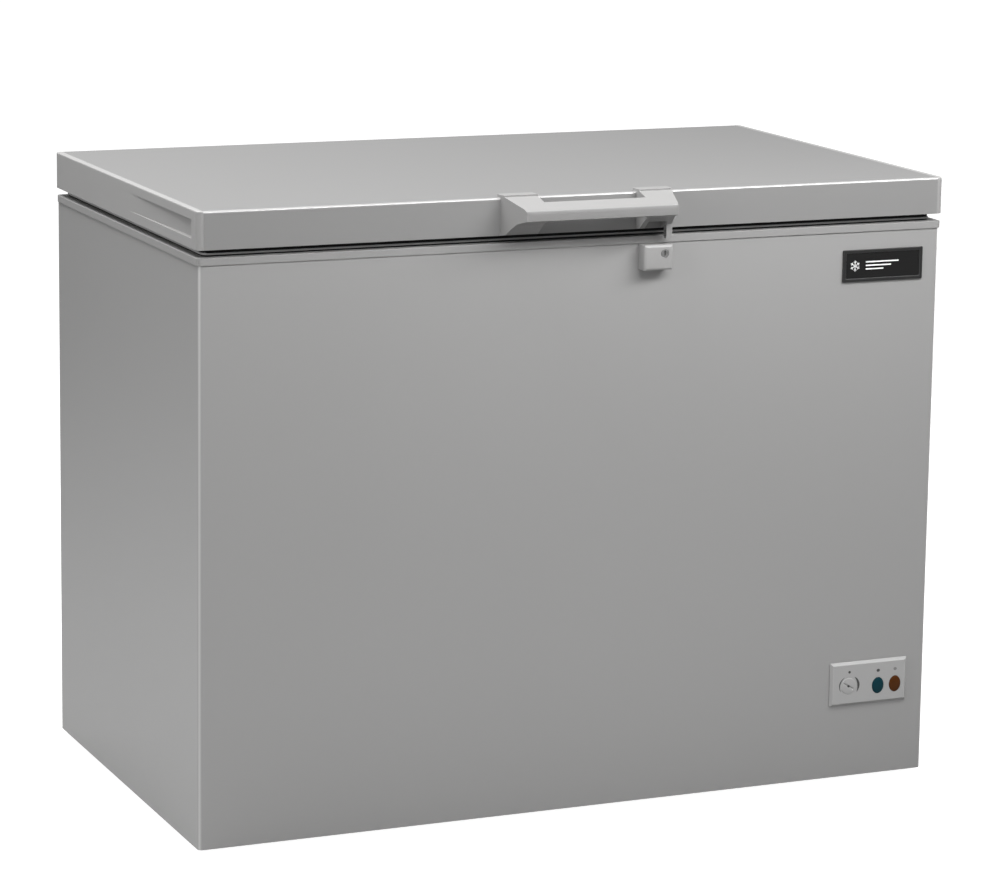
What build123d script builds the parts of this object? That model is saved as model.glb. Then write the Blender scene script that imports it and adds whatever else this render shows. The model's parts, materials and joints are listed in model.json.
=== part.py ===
from build123d import *
import os

# A 300 litre chest freezer with a hinged lid. Millimetres, +X right, +Y back, +Z up.
# The origin is under the middle of the whole object, at the level of the floor.

# Driving dimensions
lid_width = 1104.0
lid_depth = 632.0
lid_height = 51.5
lid_top = 868.0
handle_reach = 56.5
hinge_back = 12.0
knuckle = 8.6
overhang = 3.0
ground_gap = 8.0
sheet = 0.8
wall = 70.0
bay_width = 250.0
bay_height = 262.0
play = 0.1

# Plan: the depth runs from the handle's nose to the hinge knuckles
overall_depth = handle_reach + lid_depth + hinge_back + knuckle
lid_front = handle_reach - overall_depth / 2
lid_rear = lid_front + lid_depth
lid_half = lid_width / 2
shell_half = lid_half - overhang
shell_front = lid_front + overhang
shell_rear = lid_rear - overhang
inside_half = shell_half - sheet
inside_front = shell_front + sheet
inside_rear = shell_rear - sheet
middle_y = (shell_front + shell_rear) / 2

# Rim: a band that stands proud of the shell, a flat seat for the gasket and a step for the basket
rim_proud = 2.0
rim_face = 10.0
rim_plate = 2.5
seat_width = 60.0
ledge_width = 14.0
rim_half = shell_half + rim_proud
rim_front = shell_front - rim_proud
rim_rear = shell_rear + rim_proud

# Heights
gasket_height = 10.2
seal_gap = 0.3
lid_bottom = lid_top - lid_height
rim_top = lid_bottom - gasket_height - seal_gap
rim_bottom = rim_top - rim_face
ledge_top = rim_top - 10.0
liner_top = ledge_top - rim_plate
base_sheet = 1.2
base_top = ground_gap + base_sheet
cavity_floor = ground_gap + wall + 5.0
bay_top = ground_gap + bay_height
step_top = bay_top + 48.0

# Cavity and machine bay
liner = 1.0
cavity_half = shell_half - wall
cavity_front = shell_front + wall
cavity_rear = shell_rear - wall
cavity_corner = 24.0
floor_corner = 16.0
bay_sheet = 1.0
bay_left = shell_half - bay_width
step_wall = bay_left - 54.0
shell_corner = 6.0

# Lid
end_cap = 9.0
skin_half = lid_half - end_cap
skin_bend = 3.5
spigot = 12.0
spigot_wall = 2.0
gasket_inset = 11.0
gasket_width = 14.0
panel_sheet = 2.0
plug_inset = 86.0
plug_drop = 16.0
recess_start, recess_end = 23.0, 285.0
recess_low, recess_high = 830.0, 855.0
recess_depth = 6.5

# Hinges: the pin lies behind the lid, level with the gap between lid and rim
hinge_y = lid_rear + hinge_back
hinge_z = (lid_bottom + rim_top) / 2
hinge_x = 380.0
pin_radius = 4.0
hinge_plate = 2.5
bracket_half = 34.0
bracket_height = 110.0
arm_half = 24.0
arm_top = lid_top - 8.0
screw_radius = 2.2
screw_head = 4.6
screw_depth = 12.0

# Handle: two feet on the lid's face and a bar between them
handle_half = 125.3
handle_taper = 14.1
foot_inner = 75.0
foot_lip = 12.0
lip_top = 871.6
lip_recess = 0.3
finger_gap = 30.0

# Lock, under the handle's right foot
lock_x, lock_z = 111.0, 784.0
lock_span = (80.8, 123.3)
lock_heights = (761.0, rim_bottom - 0.3)
lock_depth = 22.0
lock_wall = 1.6
barrel = 6.0
hook_front = lid_front - 15.0
hook_thick = 3.0
hook_reach = 27.4
strike_x = (112.6, 121.4)
strike_y = (lid_front - 18.0, lid_front - 9.0)
strike_bar = 2.5

# Control panel and badge, on the front face
panel_x = (396.0, 519.0)
panel_z = (113.5, 176.5)
panel_proud = 5.0
dial_x, dial_z = 424.5, 142.0
dial_radius = 11.5
dial_stem = 3.0
lamp_z = 139.0
lamp_places = {"lamp_green": 472.0, "lamp_amber": 499.5}
lamp_half_width, lamp_half_height = 9.5, 12.0
badge_x = (396.5, 522.5)
badge_z = (725.5, 771.0)
badge_proud = 3.0
badge_border = 5.0

# Feet and rollers
foot_radius = 20.0
foot_x, foot_y = 490.0, shell_front + 62.0
stud_radius = 4.0
roller_radius = 13.0
roller_half = 11.0
roller_x, roller_y = 468.0, shell_rear - 62.0
axle_radius = 3.0
fork_half = 14.0
fork_height = 32.0
fork_sheet = 2.0
fork_length = 18.0

# Cold circuit
evaporator_radius = 4.0
evaporator_gap = 9.0
evaporator_turns = 8
evaporator_pitch = 48.0
condenser_radius = 3.0
condenser_gap = 7.2
condenser_runs = 6
condenser_pitch = 72.0
compressor_x, compressor_y = 424.0, shell_rear - 200.0
compressor_radius = 70.0
tray_sheet = 2.0
tray_top = base_top + tray_sheet
grommet_height = 16.0
foot_plate = 3.0
mount_half_x, mount_half_y = 84.0, 50.0
riser_x, riser_y = cavity_half + liner + evaporator_gap, 20.0
outlet_x = 528.0

# Vents and inlet
grille_y = (shell_rear - 360.0, shell_rear - 90.0)
grille_z = (60.0, 225.0)
cover_x = (316.0, 528.0)
cover_z = (42.0, 250.0)
vent_frame = 8.0
gland_x, gland_z = 350.0, 70.0
gland_bore = 4.2

# Drain, at the left end of the cavity's floor
drain_x, drain_y = -400.0, middle_y
drain_radius = 9.0
drain_bore = 7.0

# Basket, hung on the rim's ledge over the step
basket_x = (219.0, 453.0)
basket_gap = 4.0
basket_z = (600.0, 786.0)
mesh = 3.0
mesh_pitch = 26.0
bail_half = 55.0
bail_drop = 22.0
bail_wire = 1.75


def block(x, y, z):
    """A box between two values on each axis."""
    spans = (x, y, z)
    size = [b - a for a, b in spans]
    middle = [(a + b) / 2 for a, b in spans]
    return Pos(*middle) * Box(*size)


def plate(x, y, z, corner=0.0):
    """An upright prism on a rectangle with rounded corners."""
    outline = Rectangle(x[1] - x[0], y[1] - y[0])
    if corner:
        outline = fillet(outline.vertices(), corner)
    middle = Pos((x[0] + x[1]) / 2, (y[0] + y[1]) / 2, z[0])
    return extrude(middle * outline, z[1] - z[0])


def bar(start, end, radius):
    """A round bar from one point to another."""
    run = Vector(*end) - Vector(*start)
    return extrude(Plane(origin=start, z_dir=run.normalized()) * Circle(radius), run.length)


def upright(x, y, z, radius):
    """A round bar along Z between two heights."""
    return bar((x, y, z[0]), (x, y, z[1]), radius)


def tube(points, radii, radius):
    """A round tube along straight runs joined by tangent arcs."""
    path = FilletPolyline(*points, radius=radii)
    return sweep(Plane(origin=path @ 0, z_dir=path % 0) * Circle(radius), path=path)


def side_profile(points, x):
    """A side outline, given as y and z, run along X."""
    outline = Polyline(*[(x[0], y, z) for y, z in points], close=True)
    return extrude(make_face(outline), x[1] - x[0], dir=(1, 0, 0))


def front_face(x, y, z):
    """A plane that faces the front, with its own axes to the right and up."""
    return Plane(origin=(x, y, z), x_dir=(1, 0, 0), z_dir=(0, -1, 0))


def slots(x, z, y, count, margin=0.0):
    """A row of level slots that cuts a plate facing the front or back."""
    pitch = (z[1] - z[0]) / count
    places = [z[0] + pitch * (i + 0.5) for i in range(count)]
    return [block((x[0] + margin, x[1] - margin), y, (c - pitch * 0.25, c + pitch * 0.25)) for c in places]


def inset(span, amount):
    """A span made smaller by the same amount at both ends."""
    return (span[0] + amount, span[1] - amount)


def mirrored(shape):
    """The same piece on the other side of the middle plane."""
    return mirror(shape, Plane.YZ)


def both(shape):
    """A piece and its mirror image, as a group of separate solids."""
    return Compound([shape, mirrored(shape)])


# Cabinet

def outer_shell():
    """Front and both sides from one folded sheet, open at the back."""
    z = (ground_gap, rim_bottom)
    beyond = shell_rear + 20
    shell = plate((-shell_half, shell_half), (shell_front, beyond), z, shell_corner)
    hollow = (-inside_half, inside_half), (inside_front, beyond + 20), (z[0] - 1, z[1] + 1)
    shell -= plate(*hollow, shell_corner - sheet)
    shell -= block((-600, 600), (shell_rear, beyond + 1), (0, 900))
    shell -= block(inset(panel_x, 8), (shell_front - 1, inside_front + 1), inset(panel_z, 8))
    shell -= block((inside_half - 1, shell_half + 1), inset(grille_y, vent_frame), inset(grille_z, vent_frame))
    return shell


def back_panel():
    panel = block((-inside_half, inside_half), (inside_rear, shell_rear), (ground_gap, rim_bottom))
    window = inset(cover_x, vent_frame), (inside_rear - 1, shell_rear + 1), inset(cover_z, vent_frame)
    return panel - block(*window) - bracket_screws(play / 2)


def inside_plan(z):
    """The cabinet's plan inside its sheet metal."""
    return plate((-inside_half, inside_half), (inside_front, inside_rear), z, shell_corner - sheet)


def base_panel():
    panel = inside_plan((ground_gap, base_top))
    panel -= both(roller_window((0, 20)))
    panel -= both(upright(foot_x, foot_y, (0, 20), stud_radius))
    return panel - upright(drain_x, drain_y, (0, 20), drain_radius)


def roller_window(z):
    """The opening that a roller hangs through."""
    return block((roller_x - roller_half - 1, roller_x + roller_half + 1),
                 (roller_y - roller_radius - 2, roller_y + roller_radius + 2), z)


def fork_room():
    """The room that the fork of a roller takes inside the cabinet."""
    return block((roller_x - 24, roller_x + 24),
                 (roller_y - fork_length - 1, roller_y + fork_length + 1), (base_top, fork_height + 1))


def cavity(grow, top):
    """The space inside the liner: a deep part and a shallow one over the step."""
    ends = (cavity_front - grow, cavity_rear + grow)
    deep = (-cavity_half - grow, step_wall + grow), ends, (cavity_floor - grow, top)
    shallow = (-cavity_half - grow, cavity_half + grow), ends, (step_top - grow, top)
    parts = []
    for x, y, z in (deep, shallow):
        part = plate(x, y, z, cavity_corner + grow)
        parts.append(fillet(part.faces().sort_by(Axis.Z)[0].edges(), floor_corner + grow))
    return parts[0] + parts[1]


def inner_liner():
    shell = cavity(liner, liner_top) - cavity(0, liner_top + 5)
    return shell - upright(drain_x, drain_y, (0, cavity_floor + 5), drain_bore)


def bay_liner():
    """The sheet that walls the machine bay off from the foam."""
    side = block((bay_left - bay_sheet, bay_left), (inside_front, inside_rear), (base_top, bay_top))
    roof = block((bay_left - bay_sheet, inside_half), (inside_front, inside_rear),
                 (bay_top, bay_top + bay_sheet))
    sheet_metal = side + roof
    for x, y, radius in bay_pipes:
        sheet_metal -= upright(x, y, (bay_top - 1, bay_top + bay_sheet + 1), radius)
    return sheet_metal & inside_plan((base_top, bay_top + bay_sheet))


def cabinet_foam(buried):
    foam = inside_plan((base_top, liner_top))
    under_rim = liner_top, rim_top - rim_plate
    foam += rim_ring(rim_proud + sheet, seat_width - rim_plate, under_rim)
    foam -= cavity(liner, liner_top + 20)
    foam -= block((bay_left - bay_sheet, inside_half), (inside_front, inside_rear),
                  (base_top, bay_top + bay_sheet))
    foam -= mirrored(fork_room())
    foam -= both(upright(foot_x, foot_y, (0, 24), stud_radius))
    foam -= upright(drain_x, drain_y, (0, cavity_floor), drain_radius)
    foam -= bracket_screws(play / 2)
    for piece in buried:
        foam -= piece
    return foam


def rim_outline(edge, z):
    """The rim's plan, smaller by a distance from its outer edge."""
    corner = shell_corner - edge / 2 if edge < 5 else cavity_corner + wall + rim_proud - edge
    x, y = inset((-rim_half, rim_half), edge), inset((rim_front, rim_rear), edge)
    return plate(x, y, z, corner)


def rim_ring(outer, inner, z):
    return rim_outline(outer, z) - rim_outline(inner, (z[0] - 1, z[1] + 1))


def rim_rails():
    """The rim as four mitred rails, by name."""
    rim = rim_ring(0, rim_plate, (rim_bottom, rim_top))
    rim += rim_ring(0, seat_width, (rim_top - rim_plate, rim_top))
    rim += rim_ring(seat_width - rim_plate, seat_width, (liner_top, rim_top))
    rim += rim_ring(seat_width - rim_plate, seat_width + ledge_width, (liner_top, ledge_top))
    reach = 150.0
    z = (liner_top - 1, rim_top + 1)
    rails = {}
    for name, edge, side in (("rim_front", rim_front, 1), ("rim_rear", rim_rear, -1)):
        corners = [(-rim_half, edge), (rim_half, edge),
                   (rim_half - reach, edge + side * reach), (-rim_half + reach, edge + side * reach)]
        rails[name] = rim & upright_prism(corners, z)
    for name, edge, side in (("rim_left", -rim_half, 1), ("rim_right", rim_half, -1)):
        corners = [(edge, rim_front), (edge, rim_rear),
                   (edge + side * reach, rim_rear - reach), (edge + side * reach, rim_front + reach)]
        rails[name] = rim & upright_prism(corners, z)
    return rails


def upright_prism(corners, z):
    outline = make_face(Polyline(*[(x, y, z[0]) for x, y in corners], close=True))
    return extrude(outline, z[1] - z[0], dir=(0, 0, 1))


# Hinges

def hinge_ear(x, thickness, foot_y, heights, bore):
    """A cheek that runs from a plate to the pin, with a bore."""
    pin = Plane(origin=(x, hinge_y, hinge_z), x_dir=(0, 1, 0), z_dir=(1, 0, 0))
    low, high = [height - hinge_z for height in heights]
    back = foot_y - hinge_y
    outline = make_hull([*Circle(knuckle).edges(), Line((back, low), (back, high))])
    return extrude(pin * (outline - Circle(bore)), thickness)


def hinge_bracket():
    """The right hinge's half on the cabinet: a plate with two cheeks."""
    top = rim_bottom - 1.0
    heights = (top - bracket_height, top)
    face = shell_rear + hinge_plate
    bracket = block((hinge_x - bracket_half, hinge_x + bracket_half), (shell_rear, face), heights)
    for x in (hinge_x - bracket_half, hinge_x + bracket_half - hinge_plate):
        bracket += hinge_ear(x, hinge_plate, face, (heights[0] + 40, heights[1]), pin_radius)
    return bracket - bracket_screws(play / 2)


def hinge_arm():
    """The right hinge's half on the lid."""
    face = lid_rear + hinge_plate
    heights = (lid_bottom + 1.5, arm_top)
    arm = block((hinge_x - arm_half, hinge_x + arm_half), (lid_rear, face), heights)
    for x in (hinge_x - arm_half, hinge_x + arm_half - hinge_plate):
        arm += hinge_ear(x, hinge_plate, face, heights, pin_radius + play / 2)
    return arm - arm_screws(play / 2)


def screw(x, face, z, grow):
    """A flat-headed screw driven forward through a plate at the back."""
    shank = bar((x, face, z), (x, face - screw_depth, z), screw_radius + grow)
    if grow:
        return shank
    return shank + bar((x, face, z), (x, face + 2.0, z), screw_head)


def screw_group(face, places, grow):
    return Compound([screw(x, face, z, grow) for x, z in places])


def bracket_screws(grow=0.0):
    rows = (rim_bottom - 42, rim_bottom - 92)
    right = [(hinge_x + side * 18, z) for side in (-1, 1) for z in rows]
    places = right + [(-x, z) for x, z in right]
    return screw_group(shell_rear + hinge_plate, places, grow)


def arm_screws(grow=0.0):
    right = [(hinge_x + side * 13, z) for side in (-1, 1) for z in (lid_bottom + 14, arm_top - 9)]
    places = right + [(-x, z) for x, z in right]
    return screw_group(lid_rear + hinge_plate, places, grow)


def hinge_pin():
    """A pin with a head at its outer end."""
    end = hinge_x + bracket_half
    pin = bar((hinge_x - bracket_half - 3, hinge_y, hinge_z), (end + 3, hinge_y, hinge_z), pin_radius)
    return pin + bar((end, hinge_y, hinge_z), (end + 3, hinge_y, hinge_z), pin_radius + 2)


def hinge_spring():
    """The outer shape of the coil spring that sits on the pin."""
    reach = arm_half - hinge_plate - 2
    start, end = (hinge_x - reach, hinge_y, hinge_z), (hinge_x + reach, hinge_y, hinge_z)
    return bar(start, end, pin_radius + 3.2) - bar(start, end, pin_radius)


# Lid

def lid_skin():
    """Top, front and back of the lid from one folded sheet."""
    x = (-skin_half, skin_half)
    skin = block(x, (lid_front, lid_rear), (lid_bottom, lid_top))
    skin = fillet(skin.edges().filter_by(Axis.X).group_by(Axis.Z)[-1], skin_bend)
    skin -= lid_inside((-600, 600), lid_bottom - 1)
    for side in (-1, 1):
        skin -= block(foot_span(side), (lid_front - 1, lid_front + foot_lip), (lid_top - lip_recess, lip_top))
    return skin - arm_screws(play / 2)


def lid_inside(x, bottom):
    """The space between the folded sheet's front, top and back."""
    space = block(x, (lid_front + sheet, lid_rear - sheet), (bottom, lid_top - sheet))
    return fillet(space.edges().filter_by(Axis.X).group_by(Axis.Z)[-1], skin_bend - sheet)


def lid_end():
    """The right end cap, with a long finger recess and a spigot inside the sheet."""
    x = (skin_half, lid_half)
    cap = block(x, (lid_front, lid_rear), (lid_bottom, lid_top))
    outer = cap.faces().sort_by(Axis.X)[-1]
    cap = fillet(outer.edges().filter_by(Axis.Z), end_cap - 2)
    top = cap.edges().filter_by_position(Axis.Z, lid_top - 0.1, lid_top + 0.1)
    cap = fillet([edge for edge in top if edge.center().X > skin_half + 0.5], 2.0)
    deep = [(lid_half - recess_depth, lid_front + recess_start),
            (lid_half + 1, lid_front + recess_start), (lid_half + 1, lid_front + recess_end),
            (lid_half, lid_front + recess_end)]
    cap -= upright_prism(deep, (recess_low, recess_high))
    band = (skin_half - spigot, skin_half)
    ring = lid_inside(band, lid_bottom + panel_sheet)
    ring -= block((0, 600), inset((lid_front, lid_rear), sheet + spigot_wall),
                  (lid_bottom + panel_sheet + spigot_wall, lid_top - sheet - spigot_wall))
    return cap + ring


def lid_inner_panel():
    """The moulded panel under the lid, with a raised plug that fits the opening."""
    x, y = (-skin_half, skin_half), inset((lid_front, lid_rear), sheet)
    panel = block(x, y, (lid_bottom, lid_bottom + panel_sheet))
    panel += plug(0, (lid_bottom - plug_drop, lid_bottom + panel_sheet))
    return panel - plug(panel_sheet, (lid_bottom - plug_drop + panel_sheet, lid_bottom + panel_sheet + 1))


def plug(shrink, z):
    x = inset((-lid_half, lid_half), plug_inset + shrink)
    y = inset((lid_front, lid_rear), plug_inset + shrink)
    return plate(x, y, z, cavity_corner - 8 - shrink)


def lid_foam():
    foam = lid_inside((-skin_half + spigot, skin_half - spigot), lid_bottom + panel_sheet)
    foam += plug(panel_sheet, (lid_bottom - plug_drop + panel_sheet, lid_bottom + panel_sheet))
    return foam - arm_screws(play / 2)


def lid_gasket():
    z = (rim_top + seal_gap, lid_bottom)
    x, y = (-lid_half, lid_half), (lid_front, lid_rear)
    ring = plate(inset(x, gasket_inset), inset(y, gasket_inset), z, 12)
    inner = gasket_inset + gasket_width
    return ring - plate(inset(x, inner), inset(y, inner), (z[0] - 1, z[1] + 1), 4)


def foot_span(side):
    """The width of one of the handle's feet."""
    return sorted((side * foot_inner, side * handle_half))


def handle():
    """Two hollow-bottomed feet on the lid's face, joined by a bar with a finger gap behind it."""
    y = lid_front
    outline = [(y, lip_top), (y - 50, 858.5), (y - 55.5, 855.5), (y - handle_reach, 851), (y - 55, 842),
               (y - 36, 836.5), (y - 23, 828.5), (y - 11, 818.6), (y, 817)]
    grip = side_profile(outline, (-handle_half, handle_half))
    gap = [(y + 1, 800), (y + 1, 880), (y - finger_gap, 880), (y - finger_gap, 850),
           (y - finger_gap - 2, 846), (y - 44, 839), (y - 55, 842), (y - 55, 800)]
    grip -= side_profile(gap, (-foot_inner, foot_inner))
    for side in (-1, 1):
        grip += block(foot_span(side), (y - 8, y + foot_lip), (lid_top - lip_recess, lip_top))
        taper = [(side * handle_half, y), (side * (handle_half - handle_taper), y - handle_reach),
                 (side * 150, y - handle_reach), (side * 150, y)]
        grip -= upright_prism(taper, (800, 900))
    grip -= block(strike_x, strike_y, (800, 838))
    return grip - block((83, strike_x[0] - 2), (y - 30, y - 4), (800, 829))


def lock_strike():
    """The catch that hangs from the handle's right foot, with a notch for the hook."""
    bar_top = lock_z + hook_reach - 4.9
    catch = block(strike_x, strike_y, (bar_top - strike_bar, 838))
    notch = (strike_x[0] - 1, strike_x[1] - 2), (hook_front - 1.2, hook_front + hook_thick + 1.2)
    return catch - block(*notch, (bar_top, bar_top + 9))


# Lock

def lock_body():
    """A hollow housing on the cabinet's face, slotted on top for the hook."""
    front = shell_front - lock_depth
    body = block(lock_span, (front, shell_front), lock_heights)
    body = chamfer(body.edges().filter_by(Axis.X).group_by(Axis.Y)[0].sort_by(Axis.Z)[0], 4.0)
    body = fillet(body.edges().filter_by(Axis.Z).group_by(Axis.Y)[0], 1.2)
    body -= block(inset(lock_span, lock_wall), (front + 2, shell_front + 1), inset(lock_heights, lock_wall))
    body -= block((lock_span[0] + lock_wall, strike_x[1]), (hook_front - 1, hook_front + hook_thick + 1),
                  (lock_z, 800))
    return body - bar((lock_x, front - 1, lock_z), (lock_x, front + 3, lock_z), barrel + play / 2)


def lock_cylinder():
    """The key barrel, with a slot for the key."""
    front = shell_front - lock_depth
    cylinder = bar((lock_x, front - 0.4, lock_z), (lock_x, hook_front, lock_z), barrel)
    return cylinder - block((lock_x - 0.8, lock_x + 0.8), (front - 1, front + 2), (lock_z - 4, lock_z + 4))


def lock_hook():
    """The hook behind the barrel, drawn unlocked: its arm points left and its nose up."""
    arm = [(-hook_reach, -7), (-hook_reach, 7.5), (-hook_reach + 4.6, 7.5), (-hook_reach + 4.6, -2), (0, -2),
           (0, -7)]
    face = front_face(lock_x, hook_front + hook_thick, lock_z)
    return extrude(face * make_face(Polyline(*arm, close=True)), hook_thick) + bar(
        (lock_x, hook_front, lock_z), (lock_x, hook_front + hook_thick, lock_z), barrel + 1)


# Control panel and badge

def control_panel():
    front = shell_front - panel_proud
    panel = block(panel_x, (front, shell_front), panel_z)
    panel = chamfer(panel.faces().sort_by(Axis.Y)[0].edges(), 3.5)
    back = block(inset(panel_x, 8.5), (shell_front, shell_front + 12), inset(panel_z, 8.5))
    panel += back - block(inset(panel_x, 10.5), (shell_front, shell_front + 13), inset(panel_z, 10.5))
    panel -= bar((dial_x, front - 1, dial_z), (dial_x, front + 2.5, dial_z), dial_radius + 0.4)
    panel -= bar((dial_x, front, dial_z), (dial_x, shell_front + 1, dial_z), dial_stem + play)
    for x in lamp_places.values():
        panel -= lens(x, (front - 1, shell_front + 1), play)
    return panel


def lens(x, y, grow=0.0):
    """An oval prism in the panel's face."""
    outline = Ellipse(lamp_half_width + grow, lamp_half_height + grow)
    return extrude(front_face(x, y[1], lamp_z) * outline, y[1] - y[0])


def lamp(x):
    """An oval lens with its holder behind the panel."""
    front = shell_front - panel_proud
    cap = lens(x, (front - 1.5, shell_front))
    cap = fillet(cap.faces().sort_by(Axis.Y)[0].edges(), 1.2)
    return cap + bar((x, shell_front, lamp_z), (x, shell_front + 20, lamp_z), 7)


def thermostat():
    y = (shell_front + 3, shell_front + 34)
    body = block((dial_x - 16, dial_x + 16), y, (dial_z - 17, dial_z + 20))
    return body - bar((dial_x, y[0] - 1, dial_z), (dial_x, y[0] + 12, dial_z), dial_stem + play)


def thermostat_dial():
    """A round dial with a coin slot and a stem into the thermostat."""
    front = shell_front - panel_proud
    dial = bar((dial_x, front - 1.6, dial_z), (dial_x, front + 2.2, dial_z), dial_radius)
    dial = chamfer(dial.faces().sort_by(Axis.Y)[0].edges(), 0.8)
    dial += bar((dial_x, front + 2, dial_z), (dial_x, shell_front + 13, dial_z), dial_stem)
    return dial - block((dial_x - 1.0, dial_x + 1.0), (front - 2, front - 0.4), (dial_z - 9, dial_z + 9))


def badge_frame():
    frame = block(badge_x, (shell_front - badge_proud, shell_front), badge_z)
    frame = fillet(frame.edges().filter_by(Axis.Y), 1.5)
    return frame - block(inset(badge_x, badge_border), (shell_front - 5, shell_front + 1),
                         inset(badge_z, badge_border))


def badge_face():
    return block(inset(badge_x, badge_border), (shell_front - badge_proud + 1, shell_front),
                 inset(badge_z, badge_border))


# Feet and rollers

def front_foot():
    foot = upright(foot_x, foot_y, (0, ground_gap), foot_radius)
    foot = fillet(foot.faces().sort_by(Axis.Z)[0].edges(), 1.5)
    return foot + upright(foot_x, foot_y, (ground_gap, 24), stud_radius)


def roller_fork():
    """A folded fork on the base, around the right roller."""
    y = (roller_y - fork_length, roller_y + fork_length)
    roof = (roller_x - fork_half, roller_x + fork_half), y, (fork_height - fork_sheet, fork_height)
    fork = block(*roof)
    for side in (-1, 1):
        x = sorted((roller_x + side * (fork_half - fork_sheet), roller_x + side * fork_half))
        fork += block(x, y, (base_top, fork_height))
        flange = sorted((roller_x + side * fork_half, roller_x + side * 23))
        fork += block(flange, y, (base_top, base_top + fork_sheet))
    return fork - roller_axle()


def roller_axle():
    x = (roller_x - fork_half, roller_x + fork_half)
    return bar((x[0], roller_y, roller_radius), (x[1], roller_y, roller_radius), axle_radius)


def roller():
    ends = [(roller_x + side * roller_half, roller_y, roller_radius) for side in (-1, 1)]
    wheel = bar(*ends, roller_radius)
    wheel = fillet(wheel.edges().filter_by(GeomType.CIRCLE), 1.5)
    return wheel - bar(*ends, axle_radius + play / 2)


# Cold circuit

def evaporator_coil():
    """A tube wound around the liner, from the riser in the bay's roof."""
    x = riser_x
    front = cavity_front - liner - evaporator_gap
    rear = cavity_rear + liner + evaporator_gap
    start = step_top + 30
    points = [(x, riser_y, bay_top + bay_sheet), (x, riser_y, start)]
    corners = [(x, rear), (-x, rear), (-x, front), (x, front)]
    for i in range(evaporator_turns * 4):
        points.append((*corners[i % 4], start + (i + 1) * evaporator_pitch / 4))
    return tube(points, [14.0] + [44.0] * (len(points) - 3), evaporator_radius)


def condenser_coil():
    """A tube folded to and fro behind the back panel."""
    y = shell_rear - condenser_gap
    start = bay_top + 60
    points = [(outlet_x, y, bay_top + bay_sheet), (outlet_x, y, start)]
    for i in range(condenser_runs):
        z = start + i * condenser_pitch
        near, far = (-500.0, 490.0) if i % 2 else (490.0, -500.0)
        if i:
            points.append((near, y, z))
        points.append((far, y, z))
    return tube(points, 30.0, condenser_radius)


def compressor():
    """A welded pot with its foot plate."""
    floor = tray_top + grommet_height
    pot = upright(compressor_x, compressor_y, (floor + foot_plate, floor + 160), compressor_radius)
    pot = fillet(pot.edges().filter_by(GeomType.CIRCLE).sort_by(Axis.Z)[-1], 32)
    pot += upright(compressor_x, compressor_y, (floor + 78, floor + 86), compressor_radius + 4)
    feet = plate((compressor_x - mount_half_x - 14, compressor_x + mount_half_x + 14),
                 (compressor_y - mount_half_y - 14, compressor_y + mount_half_y + 14),
                 (floor, floor + foot_plate), 12)
    for x, y in mount_places():
        feet -= upright(x, y, (floor - 1, floor + foot_plate + 1), stud_radius)
    return pot + feet


def mount_places():
    return [(compressor_x + i * mount_half_x, compressor_y + j * mount_half_y)
            for i in (-1, 1) for j in (-1, 1)]


def compressor_tray():
    tray = block((bay_left, inside_half), (shell_rear - 340, inside_rear), (base_top, tray_top))
    return tray - fork_room()


def compressor_grommets():
    z = (tray_top, tray_top + grommet_height)
    rings = [upright(x, y, z, 9) - upright(x, y, z, stud_radius) for x, y in mount_places()]
    return Compound(rings)


def compressor_bolts():
    floor = tray_top + grommet_height + foot_plate
    bolts = []
    for x, y in mount_places():
        nut = extrude(Pos(x, y, floor) * RegularPolygon(7, 6), 6)
        bolts.append(upright(x, y, (tray_top, floor + 10), stud_radius) + nut)
    return Compound(bolts)


def relay_box():
    side = compressor_x + compressor_radius
    box = block((side - 12, side + 26), (compressor_y - 32, compressor_y + 32), (50, 100))
    return box - upright(compressor_x, compressor_y, (0, 200), compressor_radius)


def filter_drier():
    return upright(outlet_x, -60, (60, 160), 9)


def suction_pipe():
    y = compressor_y - compressor_radius
    points = [(compressor_x, y, 150), (compressor_x, riser_y, 150), (riser_x, riser_y, 150),
              (riser_x, riser_y, bay_top + bay_sheet)]
    return tube(points, 16.0, evaporator_radius)


def discharge_pipe():
    start = compressor_y + compressor_radius
    back = shell_rear - condenser_gap
    points = [(compressor_x, start, 140), (compressor_x, start + 40, 140), (outlet_x, start + 40, 140),
              (outlet_x, start + 40, 200), (outlet_x, back, 200), (outlet_x, back, bay_top + bay_sheet)]
    return tube(points, 16.0, condenser_radius)


def capillary_tube():
    points = [(outlet_x, -60, 160), (outlet_x, -60, 225), (outlet_x, 0, 225), (outlet_x, 0, bay_top)]
    return tube(points, 16.0, 1.2)


bay_pipes = [(riser_x, riser_y, evaporator_radius), (outlet_x, shell_rear - condenser_gap, condenser_radius)]


# Vents, inlet and drain

def side_grille():
    """A slotted panel over the machine bay's side vent."""
    x = (shell_half, shell_half + 1.5)
    panel = fillet(block(x, grille_y, grille_z).edges().filter_by(Axis.X), 6)
    z = inset(grille_z, vent_frame + 8)
    pitch = (z[1] - z[0]) / 9
    for i in range(9):
        middle = z[0] + pitch * (i + 0.5)
        panel -= block((x[0] - 1, x[1] + 1), inset(grille_y, vent_frame + 10), (middle - 3.5, middle + 3.5))
    return panel


def rear_grille():
    """A slotted cover over the machine bay's back, with the hole for the inlet gland."""
    y = (shell_rear, shell_rear + 1.5)
    panel = fillet(block(cover_x, y, cover_z).edges().filter_by(Axis.Y), 6)
    for slot in slots(inset(cover_x, 20), (100, 235), (y[0] - 1, y[1] + 1), 8):
        panel -= slot
    return panel - bar((gland_x, y[0] - 1, gland_z), (gland_x, y[1] + 1, gland_z), gland_bore + 3)


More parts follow.
